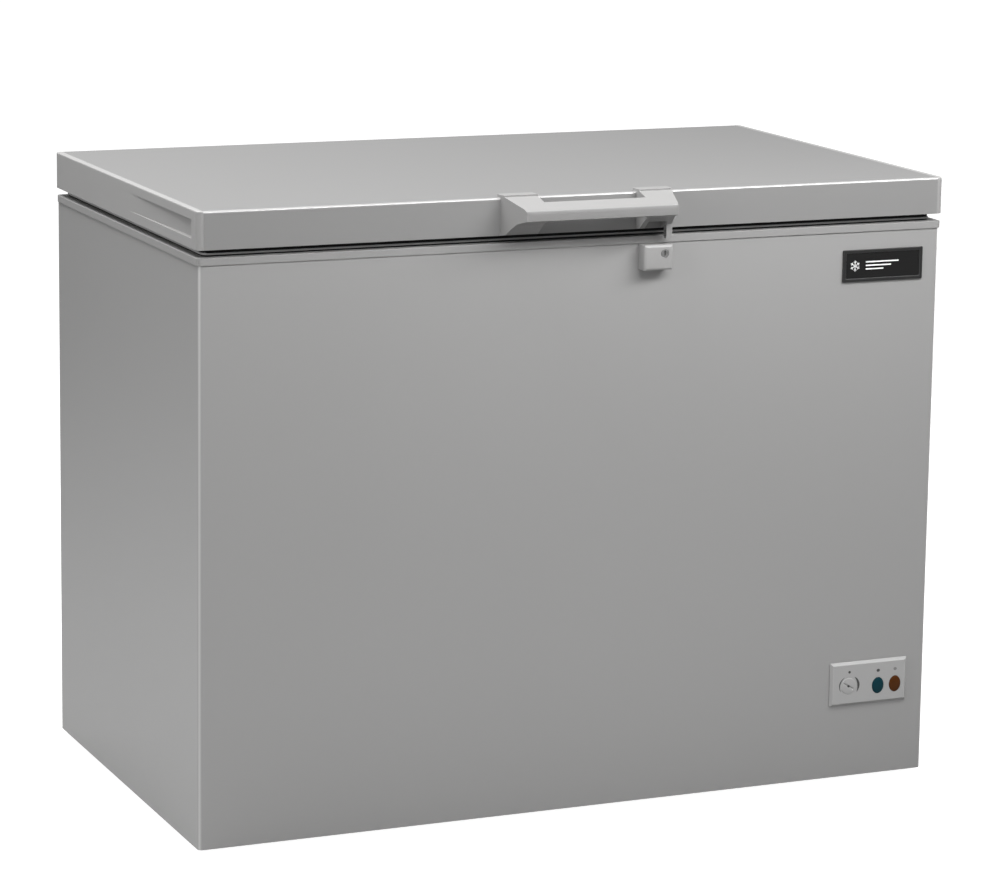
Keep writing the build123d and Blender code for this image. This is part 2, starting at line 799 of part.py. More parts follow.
def inlet_gland():
    """A bush for the supply cord: a flange outside, a neck through the cover and a bore."""
    y = shell_rear
    gland = bar((gland_x, y - 8, gland_z), (gland_x, y + 1.5, gland_z), gland_bore + 3)
    gland += bar((gland_x, y + 1.5, gland_z), (gland_x, y + 6, gland_z), gland_bore + 6)
    return gland - bar((gland_x, y - 9, gland_z), (gland_x, y + 7, gland_z), gland_bore)


def drain_pipe():
    """A straight pipe from the cavity's floor to the base."""
    z = (ground_gap, cavity_floor - liner)
    return upright(drain_x, drain_y, z, drain_radius) - upright(drain_x, drain_y, z, drain_bore)


def drain_plug():
    """A bung that pulls up out of the drain."""
    bung = upright(drain_x, drain_y, (cavity_floor - 22, cavity_floor), drain_bore - 0.3)
    bung += upright(drain_x, drain_y, (cavity_floor + 0.1, cavity_floor + 3), 14)
    bung += upright(drain_x, drain_y, (cavity_floor - 1, cavity_floor + 1), drain_bore - 0.3)
    return bung + block((drain_x - 9, drain_x + 9), (drain_y - 1.5, drain_y + 1.5),
                        (cavity_floor + 3, cavity_floor + 14))


# Basket

def basket_y():
    edge = seat_width + ledge_width + basket_gap
    return inset((rim_front, rim_rear), edge)


def grid(width, height, pitch):
    """A flat lattice centred on the origin of its own plane."""
    across, up = max(1, round(width / pitch)), max(1, round(height / pitch))
    dx, dy = (width - mesh) / across, (height - mesh) / up
    holes = GridLocations(dx, dy, across, up) * Rectangle(dx - mesh, dy - mesh)
    return Rectangle(width, height) - holes


def wire_basket():
    """Five lattices, a rim bar and four hooks that hang on the ledge."""
    x, y, z = basket_x, basket_y(), basket_z
    wide, deep, high = x[1] - x[0], y[1] - y[0], z[1] - z[0]
    middle = ((x[0] + x[1]) / 2, (y[0] + y[1]) / 2, (z[0] + z[1]) / 2)
    floor = Plane(origin=(middle[0], middle[1], z[0]), x_dir=(1, 0, 0), z_dir=(0, 0, 1))
    basket = extrude(floor * grid(wide, deep, mesh_pitch * 1.5), mesh)
    for end in (y[0] + mesh, y[1]):
        basket += extrude(front_face(middle[0], end, middle[2]) * grid(wide, high, mesh_pitch), mesh)
    for end in (x[0], x[1] - mesh):
        side = Plane(origin=(end, middle[1], middle[2]), x_dir=(0, 1, 0), z_dir=(1, 0, 0))
        basket += extrude(side * grid(deep, high, mesh_pitch), mesh)
    edge = mesh + 1.5
    rim = block(x, y, (z[1] - 6, z[1])) - block(inset(x, edge), inset(y, edge), (z[1] - 7, z[1] + 1))
    basket += rim
    for hook_x in (x[0] + 30, x[1] - 30):
        for wall_y, side in ((y[0], -1), (y[1], 1)):
            span = (hook_x - 8, hook_x + 8)
            upstand = sorted((wall_y, wall_y - side * edge))
            basket += block(span, upstand, (z[1] - 6, ledge_top + 3.5))
            over = sorted((wall_y - side * edge, wall_y + side * (basket_gap + 9)))
            basket += block(span, over, (ledge_top + 0.1, ledge_top + 3.5))
    for clip in bail_clips():
        basket += clip
    return basket


def bail_place(side):
    """Where a bail's axis lies: inside an end of the basket, under the rim bar."""
    wall_y = basket_y()[0] if side < 0 else basket_y()[1]
    return wall_y - side * 12.0, basket_z[1] - 10.0


def bail_clips():
    middle = (basket_x[0] + basket_x[1]) / 2
    clips = []
    for side in (-1, 1):
        y, z = bail_place(side)
        wall_y = basket_y()[0] if side < 0 else basket_y()[1]
        for x in (middle - bail_half - 6, middle + bail_half + 2):
            span = sorted((wall_y - side * 1.5, y - side * 4))
            clip = block((x, x + 4), span, (z - 4, z + 4))
            clips.append(clip - bar((x - 1, y, z), (x + 5, y, z), bail_wire + play))
    return clips


def basket_bail(side):
    """A small folding handle, drawn hanging down inside the basket."""
    y, z = bail_place(side)
    middle = (basket_x[0] + basket_x[1]) / 2
    x, low = bail_half - 3, z - bail_drop
    points = [(middle - x - 8, y, z), (middle - x, y, z), (middle - x, y, low), (middle + x, y, low),
              (middle + x, y, z), (middle + x + 8, y, z)]
    return tube(points, 3.0, bail_wire)


def build():
    """Every sub-part by its node name."""
    nodes = {
        "outer_shell": outer_shell(), "back_panel": back_panel(), "base_panel": base_panel(),
        "inner_liner": inner_liner(), "bay_liner": bay_liner(), **rim_rails(),
        "evaporator_coil": evaporator_coil(), "condenser_coil": condenser_coil(),
        "compressor": compressor(), "compressor_tray": compressor_tray(),
        "compressor_grommets": compressor_grommets(), "compressor_bolts": compressor_bolts(),
        "relay_box": relay_box(), "filter_drier": filter_drier(), "suction_pipe": suction_pipe(),
        "discharge_pipe": discharge_pipe(), "capillary_tube": capillary_tube(),
        "hinge_bracket_left": mirrored(hinge_bracket()), "hinge_bracket_right": hinge_bracket(),
        "hinge_arm_left": mirrored(hinge_arm()), "hinge_arm_right": hinge_arm(),
        "hinge_pins": both(hinge_pin()), "hinge_springs": both(hinge_spring()),
        "hinge_screws_cabinet": bracket_screws(), "hinge_screws_lid": arm_screws(),
        "lid_skin": lid_skin(), "lid_end_left": mirrored(lid_end()), "lid_end_right": lid_end(),
        "lid_inner_panel": lid_inner_panel(), "lid_foam": lid_foam(), "lid_gasket": lid_gasket(),
        "handle": handle(), "lock_strike": lock_strike(), "lock_body": lock_body(),
        "lock_cylinder": lock_cylinder(), "lock_hook": lock_hook(), "control_panel": control_panel(),
        "thermostat": thermostat(), "thermostat_dial": thermostat_dial(),
        "badge_frame": badge_frame(), "badge_face": badge_face(), "front_feet": both(front_foot()),
        "roller_forks": both(roller_fork()), "roller_axles": both(roller_axle()),
        "roller_left": mirrored(roller()), "roller_right": roller(), "side_grille": side_grille(),
        "rear_grille": rear_grille(), "inlet_gland": inlet_gland(), "drain_pipe": drain_pipe(),
        "drain_plug": drain_plug(), "wire_basket": wire_basket(),
        "basket_bail_front": basket_bail(-1), "basket_bail_rear": basket_bail(1),
    }
    for name, x in lamp_places.items():
        nodes[name] = lamp(x)
    nodes["cabinet_foam"] = cabinet_foam([nodes["evaporator_coil"], nodes["condenser_coil"]])
    return nodes


os.makedirs("parts", exist_ok=True)
for name, shape in build().items():
    export_step(shape, f"parts/{name}.step")
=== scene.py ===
# %% [markdown]
# # A chest freezer, finished by hand The engineering model of the freezer is already in place: every sheet,
# hinge and pipe sits where it belongs. This lesson gives it the surfaces and the small shapes that a person
# sees: rolled edges, seals, a wire basket, coil springs, paint, rubber and moulded plastic. Every length
# below is in metres.

# %% Load the frame
import json
from math import cos, pi, radians, sin

import bpy
from mathutils import Matrix, Vector

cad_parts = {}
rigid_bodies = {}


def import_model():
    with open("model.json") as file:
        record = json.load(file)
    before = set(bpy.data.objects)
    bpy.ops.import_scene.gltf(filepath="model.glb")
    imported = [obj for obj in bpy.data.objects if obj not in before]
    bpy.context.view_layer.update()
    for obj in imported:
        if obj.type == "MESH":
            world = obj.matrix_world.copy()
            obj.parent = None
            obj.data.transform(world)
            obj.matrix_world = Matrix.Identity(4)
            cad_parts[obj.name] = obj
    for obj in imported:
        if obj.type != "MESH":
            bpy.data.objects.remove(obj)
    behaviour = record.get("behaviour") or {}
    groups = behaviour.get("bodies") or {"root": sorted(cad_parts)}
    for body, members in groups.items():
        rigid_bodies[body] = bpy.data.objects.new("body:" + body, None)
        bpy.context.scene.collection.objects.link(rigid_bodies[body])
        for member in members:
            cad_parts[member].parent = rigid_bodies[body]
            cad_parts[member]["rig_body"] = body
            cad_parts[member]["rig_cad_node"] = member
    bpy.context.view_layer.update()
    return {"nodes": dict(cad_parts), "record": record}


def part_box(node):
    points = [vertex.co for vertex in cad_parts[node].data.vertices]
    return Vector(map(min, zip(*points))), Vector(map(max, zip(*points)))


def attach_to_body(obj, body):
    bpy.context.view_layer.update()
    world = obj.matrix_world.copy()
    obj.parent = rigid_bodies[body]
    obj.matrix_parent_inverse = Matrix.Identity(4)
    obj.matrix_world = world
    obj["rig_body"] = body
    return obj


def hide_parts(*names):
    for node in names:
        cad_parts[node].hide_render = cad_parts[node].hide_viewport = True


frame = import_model()
nodes = frame["nodes"]
owner = {node: body for body, members in frame["record"]["behaviour"]["bodies"].items() for node in members}

# %% [markdown]
# Most operators in Blender act on whatever is selected, and the loaded model arrives selected. So the first
# helpers clear the selection, and name what was just added. An object's own origin stays at the origin of
# the scene, and its place is kept in its vertices.

# %% Helpers for selecting
MM = 0.001


def deselect():
    if bpy.context.mode != "OBJECT":
        bpy.ops.object.mode_set(mode="OBJECT")
    bpy.ops.object.select_all(action="DESELECT")


def pick(*pieces):
    deselect()
    for piece in pieces:
        piece.select_set(True)
    bpy.context.view_layer.objects.active = pieces[0]
    return pieces[0]


def take(name):
    """Names the primitive that was just added and fixes its place into its vertices."""
    piece = bpy.context.active_object
    piece.name = piece.data.name = name
    bpy.ops.object.transform_apply(location=True, rotation=True, scale=True)
    return piece


def edit(piece, *steps):
    """Opens a piece in edit mode with everything selected, runs the steps and closes it."""
    pick(piece)
    bpy.ops.object.mode_set(mode="EDIT")
    bpy.ops.mesh.select_all(action="SELECT")
    for step in steps:
        step()
    bpy.ops.object.mode_set(mode="OBJECT")
    return piece


def outwards():
    bpy.ops.mesh.remove_doubles(threshold=0.01 * MM)
    bpy.ops.mesh.normals_make_consistent(inside=False)


# %% [markdown]
# Many parts here are extrusions, as folded sheet and moulded trim often are. A circle primitive with one
# vertex per corner makes any outline: each vertex moves to its corner, and the face is pulled out along an
# axis. A bevel modifier then rounds the edges, because no real edge is perfectly sharp and a rounded one
# catches a thin line of light.

# %% Helpers for shaping
def prism(name, corners, axis, start, end):
    """A solid with an outline, given in the two other axes, pulled along one axis."""
    deselect()
    bpy.ops.mesh.primitive_circle_add(vertices=len(corners), fill_type="NGON")
    piece = take(name)
    along = "XYZ".index(axis)
    first, second = [i for i in range(3) if i != along]
    for vertex, (u, v) in zip(piece.data.vertices, corners):
        vertex.co[along], vertex.co[first], vertex.co[second] = start, u, v
    reach = [0.0, 0.0, 0.0]
    reach[along] = end - start
    return edit(piece, lambda: bpy.ops.mesh.extrude_region_move(TRANSFORM_OT_translate={"value": reach}),
                lambda: bpy.ops.mesh.select_all(action="SELECT"), outwards)


def turned_slot(x, z, length, width, angle):
    """A slot's four corners, turned about its own middle."""
    along = Vector((cos(radians(angle)), sin(radians(angle)))) * length / 2
    across = Vector((-along.y, along.x)).normalized() * width / 2
    middle = Vector((x, z))
    return [tuple(middle + a * along + b * across) for a, b in ((-1, -1), (1, -1), (1, 1), (-1, 1))]


def slab(name, low, high):
    """A box between two corners."""
    corners = [(low[0], low[1]), (high[0], low[1]), (high[0], high[1]), (low[0], high[1])]
    return prism(name, corners, "Z", low[2], high[2])


def rod(name, start, end, radius, sides=32):
    """A round bar from one point to another."""
    start, end = Vector(start), Vector(end)
    deselect()
    bpy.ops.mesh.primitive_cylinder_add(vertices=sides, radius=radius, depth=(end - start).length)
    piece = bpy.context.active_object
    piece.rotation_mode = "QUATERNION"
    piece.rotation_quaternion = (end - start).to_track_quat("Z", "Y")
    piece.location = (start + end) / 2
    return take(name)


def apply(piece, kind, **settings):
    """Adds a modifier, sets it and applies it."""
    pick(piece)
    modifier = piece.modifiers.new(kind.title(), kind)
    for key, value in settings.items():
        setattr(modifier, key, value)
    bpy.ops.object.modifier_apply(modifier=modifier.name)
    return piece


def soften(piece, width, segments=3, angle=35):
    """Rounds the sharp edges and shades the faces between them smoothly."""
    apply(piece, "BEVEL", width=width, segments=segments, limit_method="ANGLE", angle_limit=radians(angle),
          harden_normals=False)
    return smooth(piece)


def smooth(piece, angle=35):
    pick(piece)
    bpy.ops.object.shade_smooth_by_angle(angle=radians(angle))
    return piece


def carve(piece, *cutters):
    """Cuts shapes out of a piece and throws the cutters away."""
    for cutter in cutters:
        apply(piece, "BOOLEAN", object=cutter, operation="DIFFERENCE", solver="EXACT")
        bpy.data.objects.remove(cutter)
    return piece


def join(name, pieces):
    piece = pick(*pieces)
    if len(pieces) > 1:
        bpy.ops.object.join()
    piece.name = piece.data.name = name
    return piece


def paint(piece, material):
    piece.data.materials.clear()
    piece.data.materials.append(material)
    return piece


def place(piece, node, *more):
    """Lets a piece stand for a node: it rides on the node's body, and the node is hidden."""
    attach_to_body(piece, owner[node])
    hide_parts(node, *more)
    return piece


def attach(piece, node):
    """Adds a detail to a node that stays: the detail rides on the node's body."""
    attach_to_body(piece, owner[node])
    return piece


# %% [markdown]
# ## Materials
# Four effects come back in many finishes, so each is a node group that is built once. *Fine grain* is the
# tiny relief of sprayed paint or of a moulded surface. *Tone drift* lets a colour wander very slightly, as
# on any large painted sheet. *Edge wear and highlight* compares a rounded normal with the true one, which
# finds the edges, and lightens their colour: partly the wear of hands and cleaning, partly a painted edge
# highlight. *Painted bend highlight* lightens the colour on the folds of a painted sheet, a highlight
# painted into the colour. The groups only pass out heights and colours, and each material keeps its own
# Principled shader.

# %% Node groups
def new_group(name, inputs, outputs):
    group = bpy.data.node_groups.new(name, "ShaderNodeTree")
    for label, kind, value in inputs:
        socket = group.interface.new_socket(name=label, in_out="INPUT", socket_type="NodeSocket" + kind)
        socket.default_value = value
    for label, kind in outputs:
        group.interface.new_socket(name=label, in_out="OUTPUT", socket_type="NodeSocket" + kind)
    return group, group.nodes.new("NodeGroupInput"), group.nodes.new("NodeGroupOutput")


def noise(group, scale, detail=2.0):
    """A noise texture read in object coordinates, with its scale linked."""
    where = group.nodes.new("ShaderNodeTexCoord")
    texture = group.nodes.new("ShaderNodeTexNoise")
    texture.inputs["Detail"].default_value = detail
    group.links.new(where.outputs["Object"], texture.inputs["Vector"])
    group.links.new(scale, texture.inputs["Scale"])
    return texture.outputs["Fac"]


def arithmetic(group, operation, first, second):
    node = group.nodes.new("ShaderNodeMath")
    node.operation = operation
    for socket, value in zip(node.inputs, (first, second)):
        if isinstance(value, (int, float)):
            socket.default_value = value
        else:
            group.links.new(value, socket)
    return node.outputs["Value"]


def build_grain():
    group, given, result = new_group(
        "fine_grain", [("Scale", "Float", 900.0), ("Depth", "Float", 1.0)], [("Height", "Float")])
    relief = noise(group, given.outputs["Scale"], 3.0)
    group.links.new(arithmetic(group, "MULTIPLY", relief, given.outputs["Depth"]), result.inputs["Height"])
    return group


def build_drift():
    group, given, result = new_group(
        "tone_drift",
        [("Color", "Color", (0.5, 0.5, 0.5, 1)), ("Scale", "Float", 3.0), ("Amount", "Float", 0.05)],
        [("Color", "Color")])
    wander = arithmetic(group, "SUBTRACT", noise(group, given.outputs["Scale"]), 0.5)
    gain = arithmetic(group, "ADD", arithmetic(group, "MULTIPLY", wander, given.outputs["Amount"]), 1.0)
    shade = group.nodes.new("ShaderNodeHueSaturation")
    group.links.new(given.outputs["Color"], shade.inputs["Color"])
    group.links.new(gain, shade.inputs["Value"])
    group.links.new(shade.outputs["Color"], result.inputs["Color"])
    return group


# Lightens the colour along sharp edges: partly the wear of hands and cleaning, partly a painted edge
# highlight.
def build_edge_wear_and_highlight():
    group, given, result = new_group(
        "edge_wear_and_highlight", [("Color", "Color", (0.5, 0.5, 0.5, 1)), ("Bright", "Color", (0.8, 0.8, 0.8, 1)),
                      ("Amount", "Float", 0.3)], [("Color", "Color"), ("Mask", "Float")])
    shape = group.nodes.new("ShaderNodeNewGeometry")
    rounded = group.nodes.new("ShaderNodeBevel")
    rounded.samples = 4
    rounded.inputs["Radius"].default_value = 1.2 * MM
    likeness = group.nodes.new("ShaderNodeVectorMath")
    likeness.operation = "DOT_PRODUCT"
    group.links.new(shape.outputs["Normal"], likeness.inputs[0])
    group.links.new(rounded.outputs["Normal"], likeness.inputs[1])
    edge = group.nodes.new("ShaderNodeMapRange")
    edge.inputs["From Min"].default_value, edge.inputs["From Max"].default_value = 0.995, 0.93
    group.links.new(likeness.outputs["Value"], edge.inputs["Value"])
    mask = arithmetic(group, "MULTIPLY", edge.outputs["Result"], given.outputs["Amount"])
    blend = group.nodes.new("ShaderNodeMix")
    blend.data_type = "RGBA"
    group.links.new(mask, blend.inputs["Factor"])
    group.links.new(given.outputs["Color"], blend.inputs["A"])
    group.links.new(given.outputs["Bright"], blend.inputs["B"])
    group.links.new(blend.outputs["Result"], result.inputs["Color"])
    group.links.new(mask, result.inputs["Mask"])
    return group


def build_painted_bend_highlight():
    """Lightens the colour of what faces between two axes, which on folded sheet is the fold: a painted
    highlight.
    """
    group, given, result = new_group(
        "painted_bend_highlight", [("Color", "Color", (0.5, 0.5, 0.5, 1)), ("Bright", "Color", (0.8, 0.8, 0.8, 1)),
                       ("Amount", "Float", 0.5)], [("Color", "Color")])
    where = group.nodes.new("ShaderNodeTexCoord")
    parts = group.nodes.new("ShaderNodeSeparateXYZ")
    group.links.new(where.outputs["Normal"], parts.inputs["Vector"])
    sizes = [arithmetic(group, "ABSOLUTE", parts.outputs[axis], 0.0) for axis in "XYZ"]
    largest = arithmetic(group, "MAXIMUM", arithmetic(group, "MAXIMUM", sizes[0], sizes[1]), sizes[2])
    bend = group.nodes.new("ShaderNodeMapRange")
    bend.inputs["From Min"].default_value, bend.inputs["From Max"].default_value = 0.97, 0.78
    group.links.new(largest, bend.inputs["Value"])
    mask = arithmetic(group, "MULTIPLY", bend.outputs["Result"], given.outputs["Amount"])
    blend = group.nodes.new("ShaderNodeMix")
    blend.data_type = "RGBA"
    group.links.new(mask, blend.inputs["Factor"])
    group.links.new(given.outputs["Color"], blend.inputs["A"])
    group.links.new(given.outputs["Bright"], blend.inputs["B"])
    group.links.new(blend.outputs["Result"], result.inputs["Color"])
    return group


groups = {"grain": build_grain(), "drift": build_drift(), "wear_and_highlight": build_edge_wear_and_highlight(), "bend": build_painted_bend_highlight()}
print("node groups:", ", ".join(groups))

# %% [markdown]
# One function lays out a finish. A colour passes through tone drift and, where an edge amount is given,
# through edge wear and highlight or through the painted bend highlight into Base Color. Both lighten the
# colour on edges or folds, which is painted highlight, and on the plastics and metals partly wear too. The
# grain feeds a Bump node. The roughness also moves a little with the grain, so a highlight never looks
# printed on. Values that are the same all over, such as the coat, are set on the shader itself.

# %% Build one finish
def grey(value, warm=0.0):
    """A near-neutral linear colour, slightly warm if asked."""
    return (value * (1 + warm), value, value * (1 - warm), 1.0)


def finish(name, colour, roughness, metallic=0.0, coat=0.0, grain=(900.0, 0.02), drift=(3.0, 0.04),
           wear_and_highlight=0.0, gloss=0.5, edge="wear_and_highlight"):
    material = bpy.data.materials.new(name)
    material.use_nodes = True
    tree = material.node_tree
    shader = tree.nodes["Principled BSDF"]
    shader.inputs["Metallic"].default_value = metallic
    shader.inputs["Coat Weight"].default_value = coat
    shader.inputs["Coat Roughness"].default_value = 0.12
    shader.inputs["Specular IOR Level"].default_value = gloss
    tone = tree.nodes.new("ShaderNodeGroup")
    tone.node_tree = groups["drift"]
    tone.inputs["Color"].default_value = colour
    tone.inputs["Scale"].default_value, tone.inputs["Amount"].default_value = drift
    tree.links.new(tone.outputs["Color"], shader.inputs["Base Color"])
    # Lightens the colour on edges or on folds: a painted highlight, and on the plastics and metals partly
    # wear as well.
    if wear_and_highlight:
        rim = tree.nodes.new("ShaderNodeGroup")
        rim.node_tree = groups[edge]
        rim.inputs["Bright"].default_value = [min(1.0, 1.5 * c + 0.04) for c in colour[:3]] + [1.0]
        rim.inputs["Amount"].default_value = wear_and_highlight
        tree.links.new(tone.outputs["Color"], rim.inputs["Color"])
        tree.links.new(rim.outputs["Color"], shader.inputs["Base Color"])
    relief = tree.nodes.new("ShaderNodeGroup")
    relief.node_tree = groups["grain"]
    relief.inputs["Scale"].default_value, relief.inputs["Depth"].default_value = grain
    bump = tree.nodes.new("ShaderNodeBump")
    bump.inputs["Distance"].default_value = 0.3 * MM
    bump.inputs["Strength"].default_value = 1.0
    tree.links.new(relief.outputs["Height"], bump.inputs["Height"])
    tree.links.new(bump.outputs["Normal"], shader.inputs["Normal"])
    spread = tree.nodes.new("ShaderNodeMapRange")
    spread.inputs["From Max"].default_value = max(grain[1], 0.001)
    spread.inputs["To Min"].default_value = roughness - 0.04
    spread.inputs["To Max"].default_value = roughness + 0.04
    tree.links.new(relief.outputs["Height"], spread.inputs["Value"])
    tree.links.new(spread.outputs["Result"], shader.inputs["Roughness"])
    return material


# %% [markdown]
# The finishes, from the outside in. The cabinet and lid are satin silver-grey paint with a faint orange
# peel. The rim, end caps, lock and panel are moulded plastic in the same grey, a little more matt. Inside,
# the liner is white, and the machinery is black enamel, bare copper and zinc plate.

# %% The finishes
# The number after the drift sets how much edges are lightened. On cabinet_paint and lid_paint it is a
# highlight painted into the colour of the folds. On the plastics and metals it is partly wear and partly a
# painted edge highlight.
finishes = {
    "cabinet_paint": finish("cabinet_paint", grey(0.310, 0.006), 0.36, 0.25, 0.60, (1500, 0.02), (1.6, 0.05),
                            0.9, edge="bend"),
    "lid_paint": finish("lid_paint", grey(0.238, 0.006), 0.36, 0.25, 0.60, (1500, 0.02), (1.6, 0.05), 0.8,
                        edge="bend"),
    "trim_plastic": finish("trim_plastic", grey(0.215, 0.008), 0.48, 0.0, 0.0, (2600, 0.10), (9, 0.05), 0.35),
    "cap_plastic": finish("cap_plastic", grey(0.240, 0.008), 0.45, 0.0, 0.0, (2600, 0.08), (9, 0.05), 0.35),
    "handle_plastic": finish("handle_plastic", grey(0.198, 0.008), 0.42, 0.0, 0.0, (2400, 0.08), (9, 0.04),
                             0.3),
    "barrel_grey": finish("barrel_grey", grey(0.16, 0.004), 0.40, 0.3, 0.0, (2400, 0.06), (9, 0.04), 0.3),
    "panel_plastic": finish("panel_plastic", grey(0.330, 0.004), 0.45, 0.0, 0.0, (2400, 0.06), (9, 0.04),
                            0.3),
    # The seal's near-black wall and sole are painted shade, and its light grey rib is a painted highlight.
    # The grommets and the drain plug use the same two rubbers.
    "black_rubber_and_seal_shade": finish("black_rubber_and_seal_shade", grey(0.008), 0.62, 0.0, 0.0, (1400, 0.15), (14, 0.15), gloss=0.15),
    "grey_rubber_and_seal_highlight": finish("grey_rubber_and_seal_highlight", grey(0.30), 0.50, 0.0, 0.0, (1400, 0.12), (14, 0.10)),
    "liner_white": finish("liner_white", (0.45, 0.47, 0.485, 1), 0.38, 0.25, 0.0, (170, 2.2), (3, 0.05)),
    "inner_plastic": finish("inner_plastic", (0.48, 0.495, 0.51, 1), 0.34, 0.0, 0.0, (1800, 0.06), (4, 0.03)),
    "zinc": finish("zinc", (0.56, 0.57, 0.58, 1), 0.36, 0.9, 0.0, (420, 0.25), (30, 0.25), 0.2),
    "galvanised": finish("galvanised", (0.46, 0.47, 0.48, 1), 0.42, 0.7, 0.0, (260, 0.30), (55, 0.16)),
    "bright_steel": finish("bright_steel", (0.66, 0.66, 0.66, 1), 0.24, 1.0, 0.0, (1800, 0.05), (30, 0.10)),
    "spring_steel": finish("spring_steel", (0.16, 0.16, 0.17, 1), 0.34, 0.9, 0.0, (1200, 0.08), (30, 0.20)),
    "copper": finish("copper", (0.83, 0.39, 0.23, 1), 0.27, 1.0, 0.0, (900, 0.10), (25, 0.30)),
    "black_enamel": finish("black_enamel", grey(0.012), 0.28, 0.0, 0.35, (700, 0.20), (12, 0.2), 0.15),
    "black_plastic": finish("black_plastic", grey(0.020), 0.42, 0.0, 0.0, (2000, 0.10), (12, 0.15), 0.3),
    "badge_black": finish("badge_black", grey(0.010), 0.42, 0.0, 0.0, (1600, 0.04), (8, 0.10), 0.5),
    "badge_gloss": finish("badge_gloss", grey(0.010), 0.20, 0.0, 0.0, (1600, 0.01), (8, 0.20), gloss=0.35),
    "print_light": finish("print_light", grey(0.70), 0.35, 0.0, 0.0, (1600, 0.02), (8, 0.05)),
    "print_dark": finish("print_dark", grey(0.045), 0.50, 0.0, 0.0, (1600, 0.02), (8, 0.05)),
    "print_grey": finish("print_grey", grey(0.17), 0.50, 0.0, 0.0, (1600, 0.02), (8, 0.05)),
    "lens_green": finish("lens_green", (0.002, 0.028, 0.038, 1), 0.30, 0.0, 0.0, (500, 0.02), (60, 0.4),
                         gloss=0.15),
    "lens_amber": finish("lens_amber", (0.062, 0.018, 0.002, 1), 0.30, 0.0, 0.0, (500, 0.02), (60, 0.5),
                         gloss=0.15),
    "foam": finish("foam", (0.80, 0.66, 0.34, 1), 0.85, 0.0, 0.0, (500, 1.0), (20, 0.2)),
    "wire_white": finish("wire_white", (0.62, 0.63, 0.64, 1), 0.30, 0.0, 0.25, (900, 0.05), (20, 0.04)),
    "grille_dark": finish("grille_dark", grey(0.10), 0.45, 0.2, 0.0, (1500, 0.10), (12, 0.1), 0.3),
}
print(len(finishes), "finishes")

# %% [markdown]
# ## Sheet metal and moulded covers
# These parts already have the right shape, but a loaded mesh is loose triangles with hard corners. So each
# is copied, its triangles are merged and the flat ones dissolved into whole faces, and its edges get the
# small radius that its process leaves: 0.3 mm on cut sheet, up to 1 mm on a moulding.

# %% Refined copies
def refined(node, material, edge=0.3, segments=2):
    piece = nodes[node].copy()
    piece.data = nodes[node].data.copy()
    piece.parent = None
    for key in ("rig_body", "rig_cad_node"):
        del piece[key]
    bpy.context.scene.collection.objects.link(piece)
    piece.name = piece.data.name = node + "_finish"
    edit(piece, lambda: bpy.ops.mesh.remove_doubles(threshold=0.02 * MM),
         lambda: bpy.ops.mesh.dissolve_limited(angle_limit=radians(0.3)))
    if edge:
        apply(piece, "BEVEL", width=edge * MM, segments=segments, limit_method="ANGLE",
              angle_limit=radians(40), use_clamp_overlap=True)
    apply(smooth(piece), "WEIGHTED_NORMAL", weight=50, keep_sharp=True)
    return place(paint(piece, finishes[material]), node)


covers = {
    "outer_shell": ("cabinet_paint", 0.2), "lid_skin": ("lid_paint", 0.2),
    "lid_end_left": ("cap_plastic", 0.8), "lid_end_right": ("cap_plastic", 0.8),
    "rim_front": ("trim_plastic", 0.7), "rim_rear": ("trim_plastic", 0.7),
    "rim_left": ("trim_plastic", 0.7), "rim_right": ("trim_plastic", 0.7),
    "inner_liner": ("liner_white", 0), "lid_inner_panel": ("inner_plastic", 0.8),
    "lock_strike": ("handle_plastic", 0.4),
    "lock_hook": ("zinc", 0.3),
    "side_grille": ("trim_plastic", 0.4), "rear_grille": ("grille_dark", 0.3),
    "hinge_bracket_left": ("zinc", 0.4), "hinge_bracket_right": ("zinc", 0.4),
    "hinge_arm_left": ("zinc", 0.4), "hinge_arm_right": ("zinc", 0.4),
    "hinge_pins": ("bright_steel", 0.4), "inlet_gland": ("black_plastic", 0.6),
    "front_feet": ("black_plastic", 0.5), "roller_forks": ("zinc", 0.3),
    "roller_axles": ("bright_steel", 0.2),
    "compressor": ("black_enamel", 0.8), "relay_box": ("black_plastic", 1.0),
    "compressor_tray": ("zinc", 0.3), "filter_drier": ("copper", 1.5), "drain_plug": ("grey_rubber_and_seal_highlight", 0.6),
    "thermostat": ("zinc", 0.5), "base_panel": ("galvanised", 0.2), "back_panel": ("galvanised", 0.2),
    "compressor_bolts": ("zinc", 0.3), "compressor_grommets": ("black_rubber_and_seal_shade", 0.8),
}
for node, (material, edge) in covers.items():
    refined(node, material, edge)
print(len(covers), "covers refined")

# %% [markdown]
# What stays as it was loaded only needs its finish: pipes, coils and the pieces that nobody sees.

# %% Finishes for the nodes that stay
plain = {
    "cabinet_foam": "foam", "lid_foam": "foam", "bay_liner": "galvanised", "suction_pipe": "copper",
    "discharge_pipe": "copper", "capillary_tube": "copper", "evaporator_coil": "bright_steel",
    "condenser_coil": "grille_dark", "drain_pipe": "inner_plastic",
}
for node, material in plain.items():
    paint(nodes[node], finishes[material])
print(len(plain), "nodes keep their mesh")

# %% [markdown]
# ## The handle
# The handle is one moulding: two wedge-shaped feet and a bar with a finger gap behind it. Its silhouette is
# already right, so a copy gets generous rounded edges. They draw the bright lines along the bar.

# %% The handle
# The handle's finish also lightens the colour on these edges: partly wear, partly a painted edge highlight.
refined("handle", "handle_plastic", 1.1, 3)

# %% [markdown]
# ## The lock's housing
# The housing is a box whose front is a shallow raised panel. Insetting the front face and lifting it at the
# same time makes the sloped border. Two cutters then open the seat of the key barrel and the slot that the
# hook rises through.

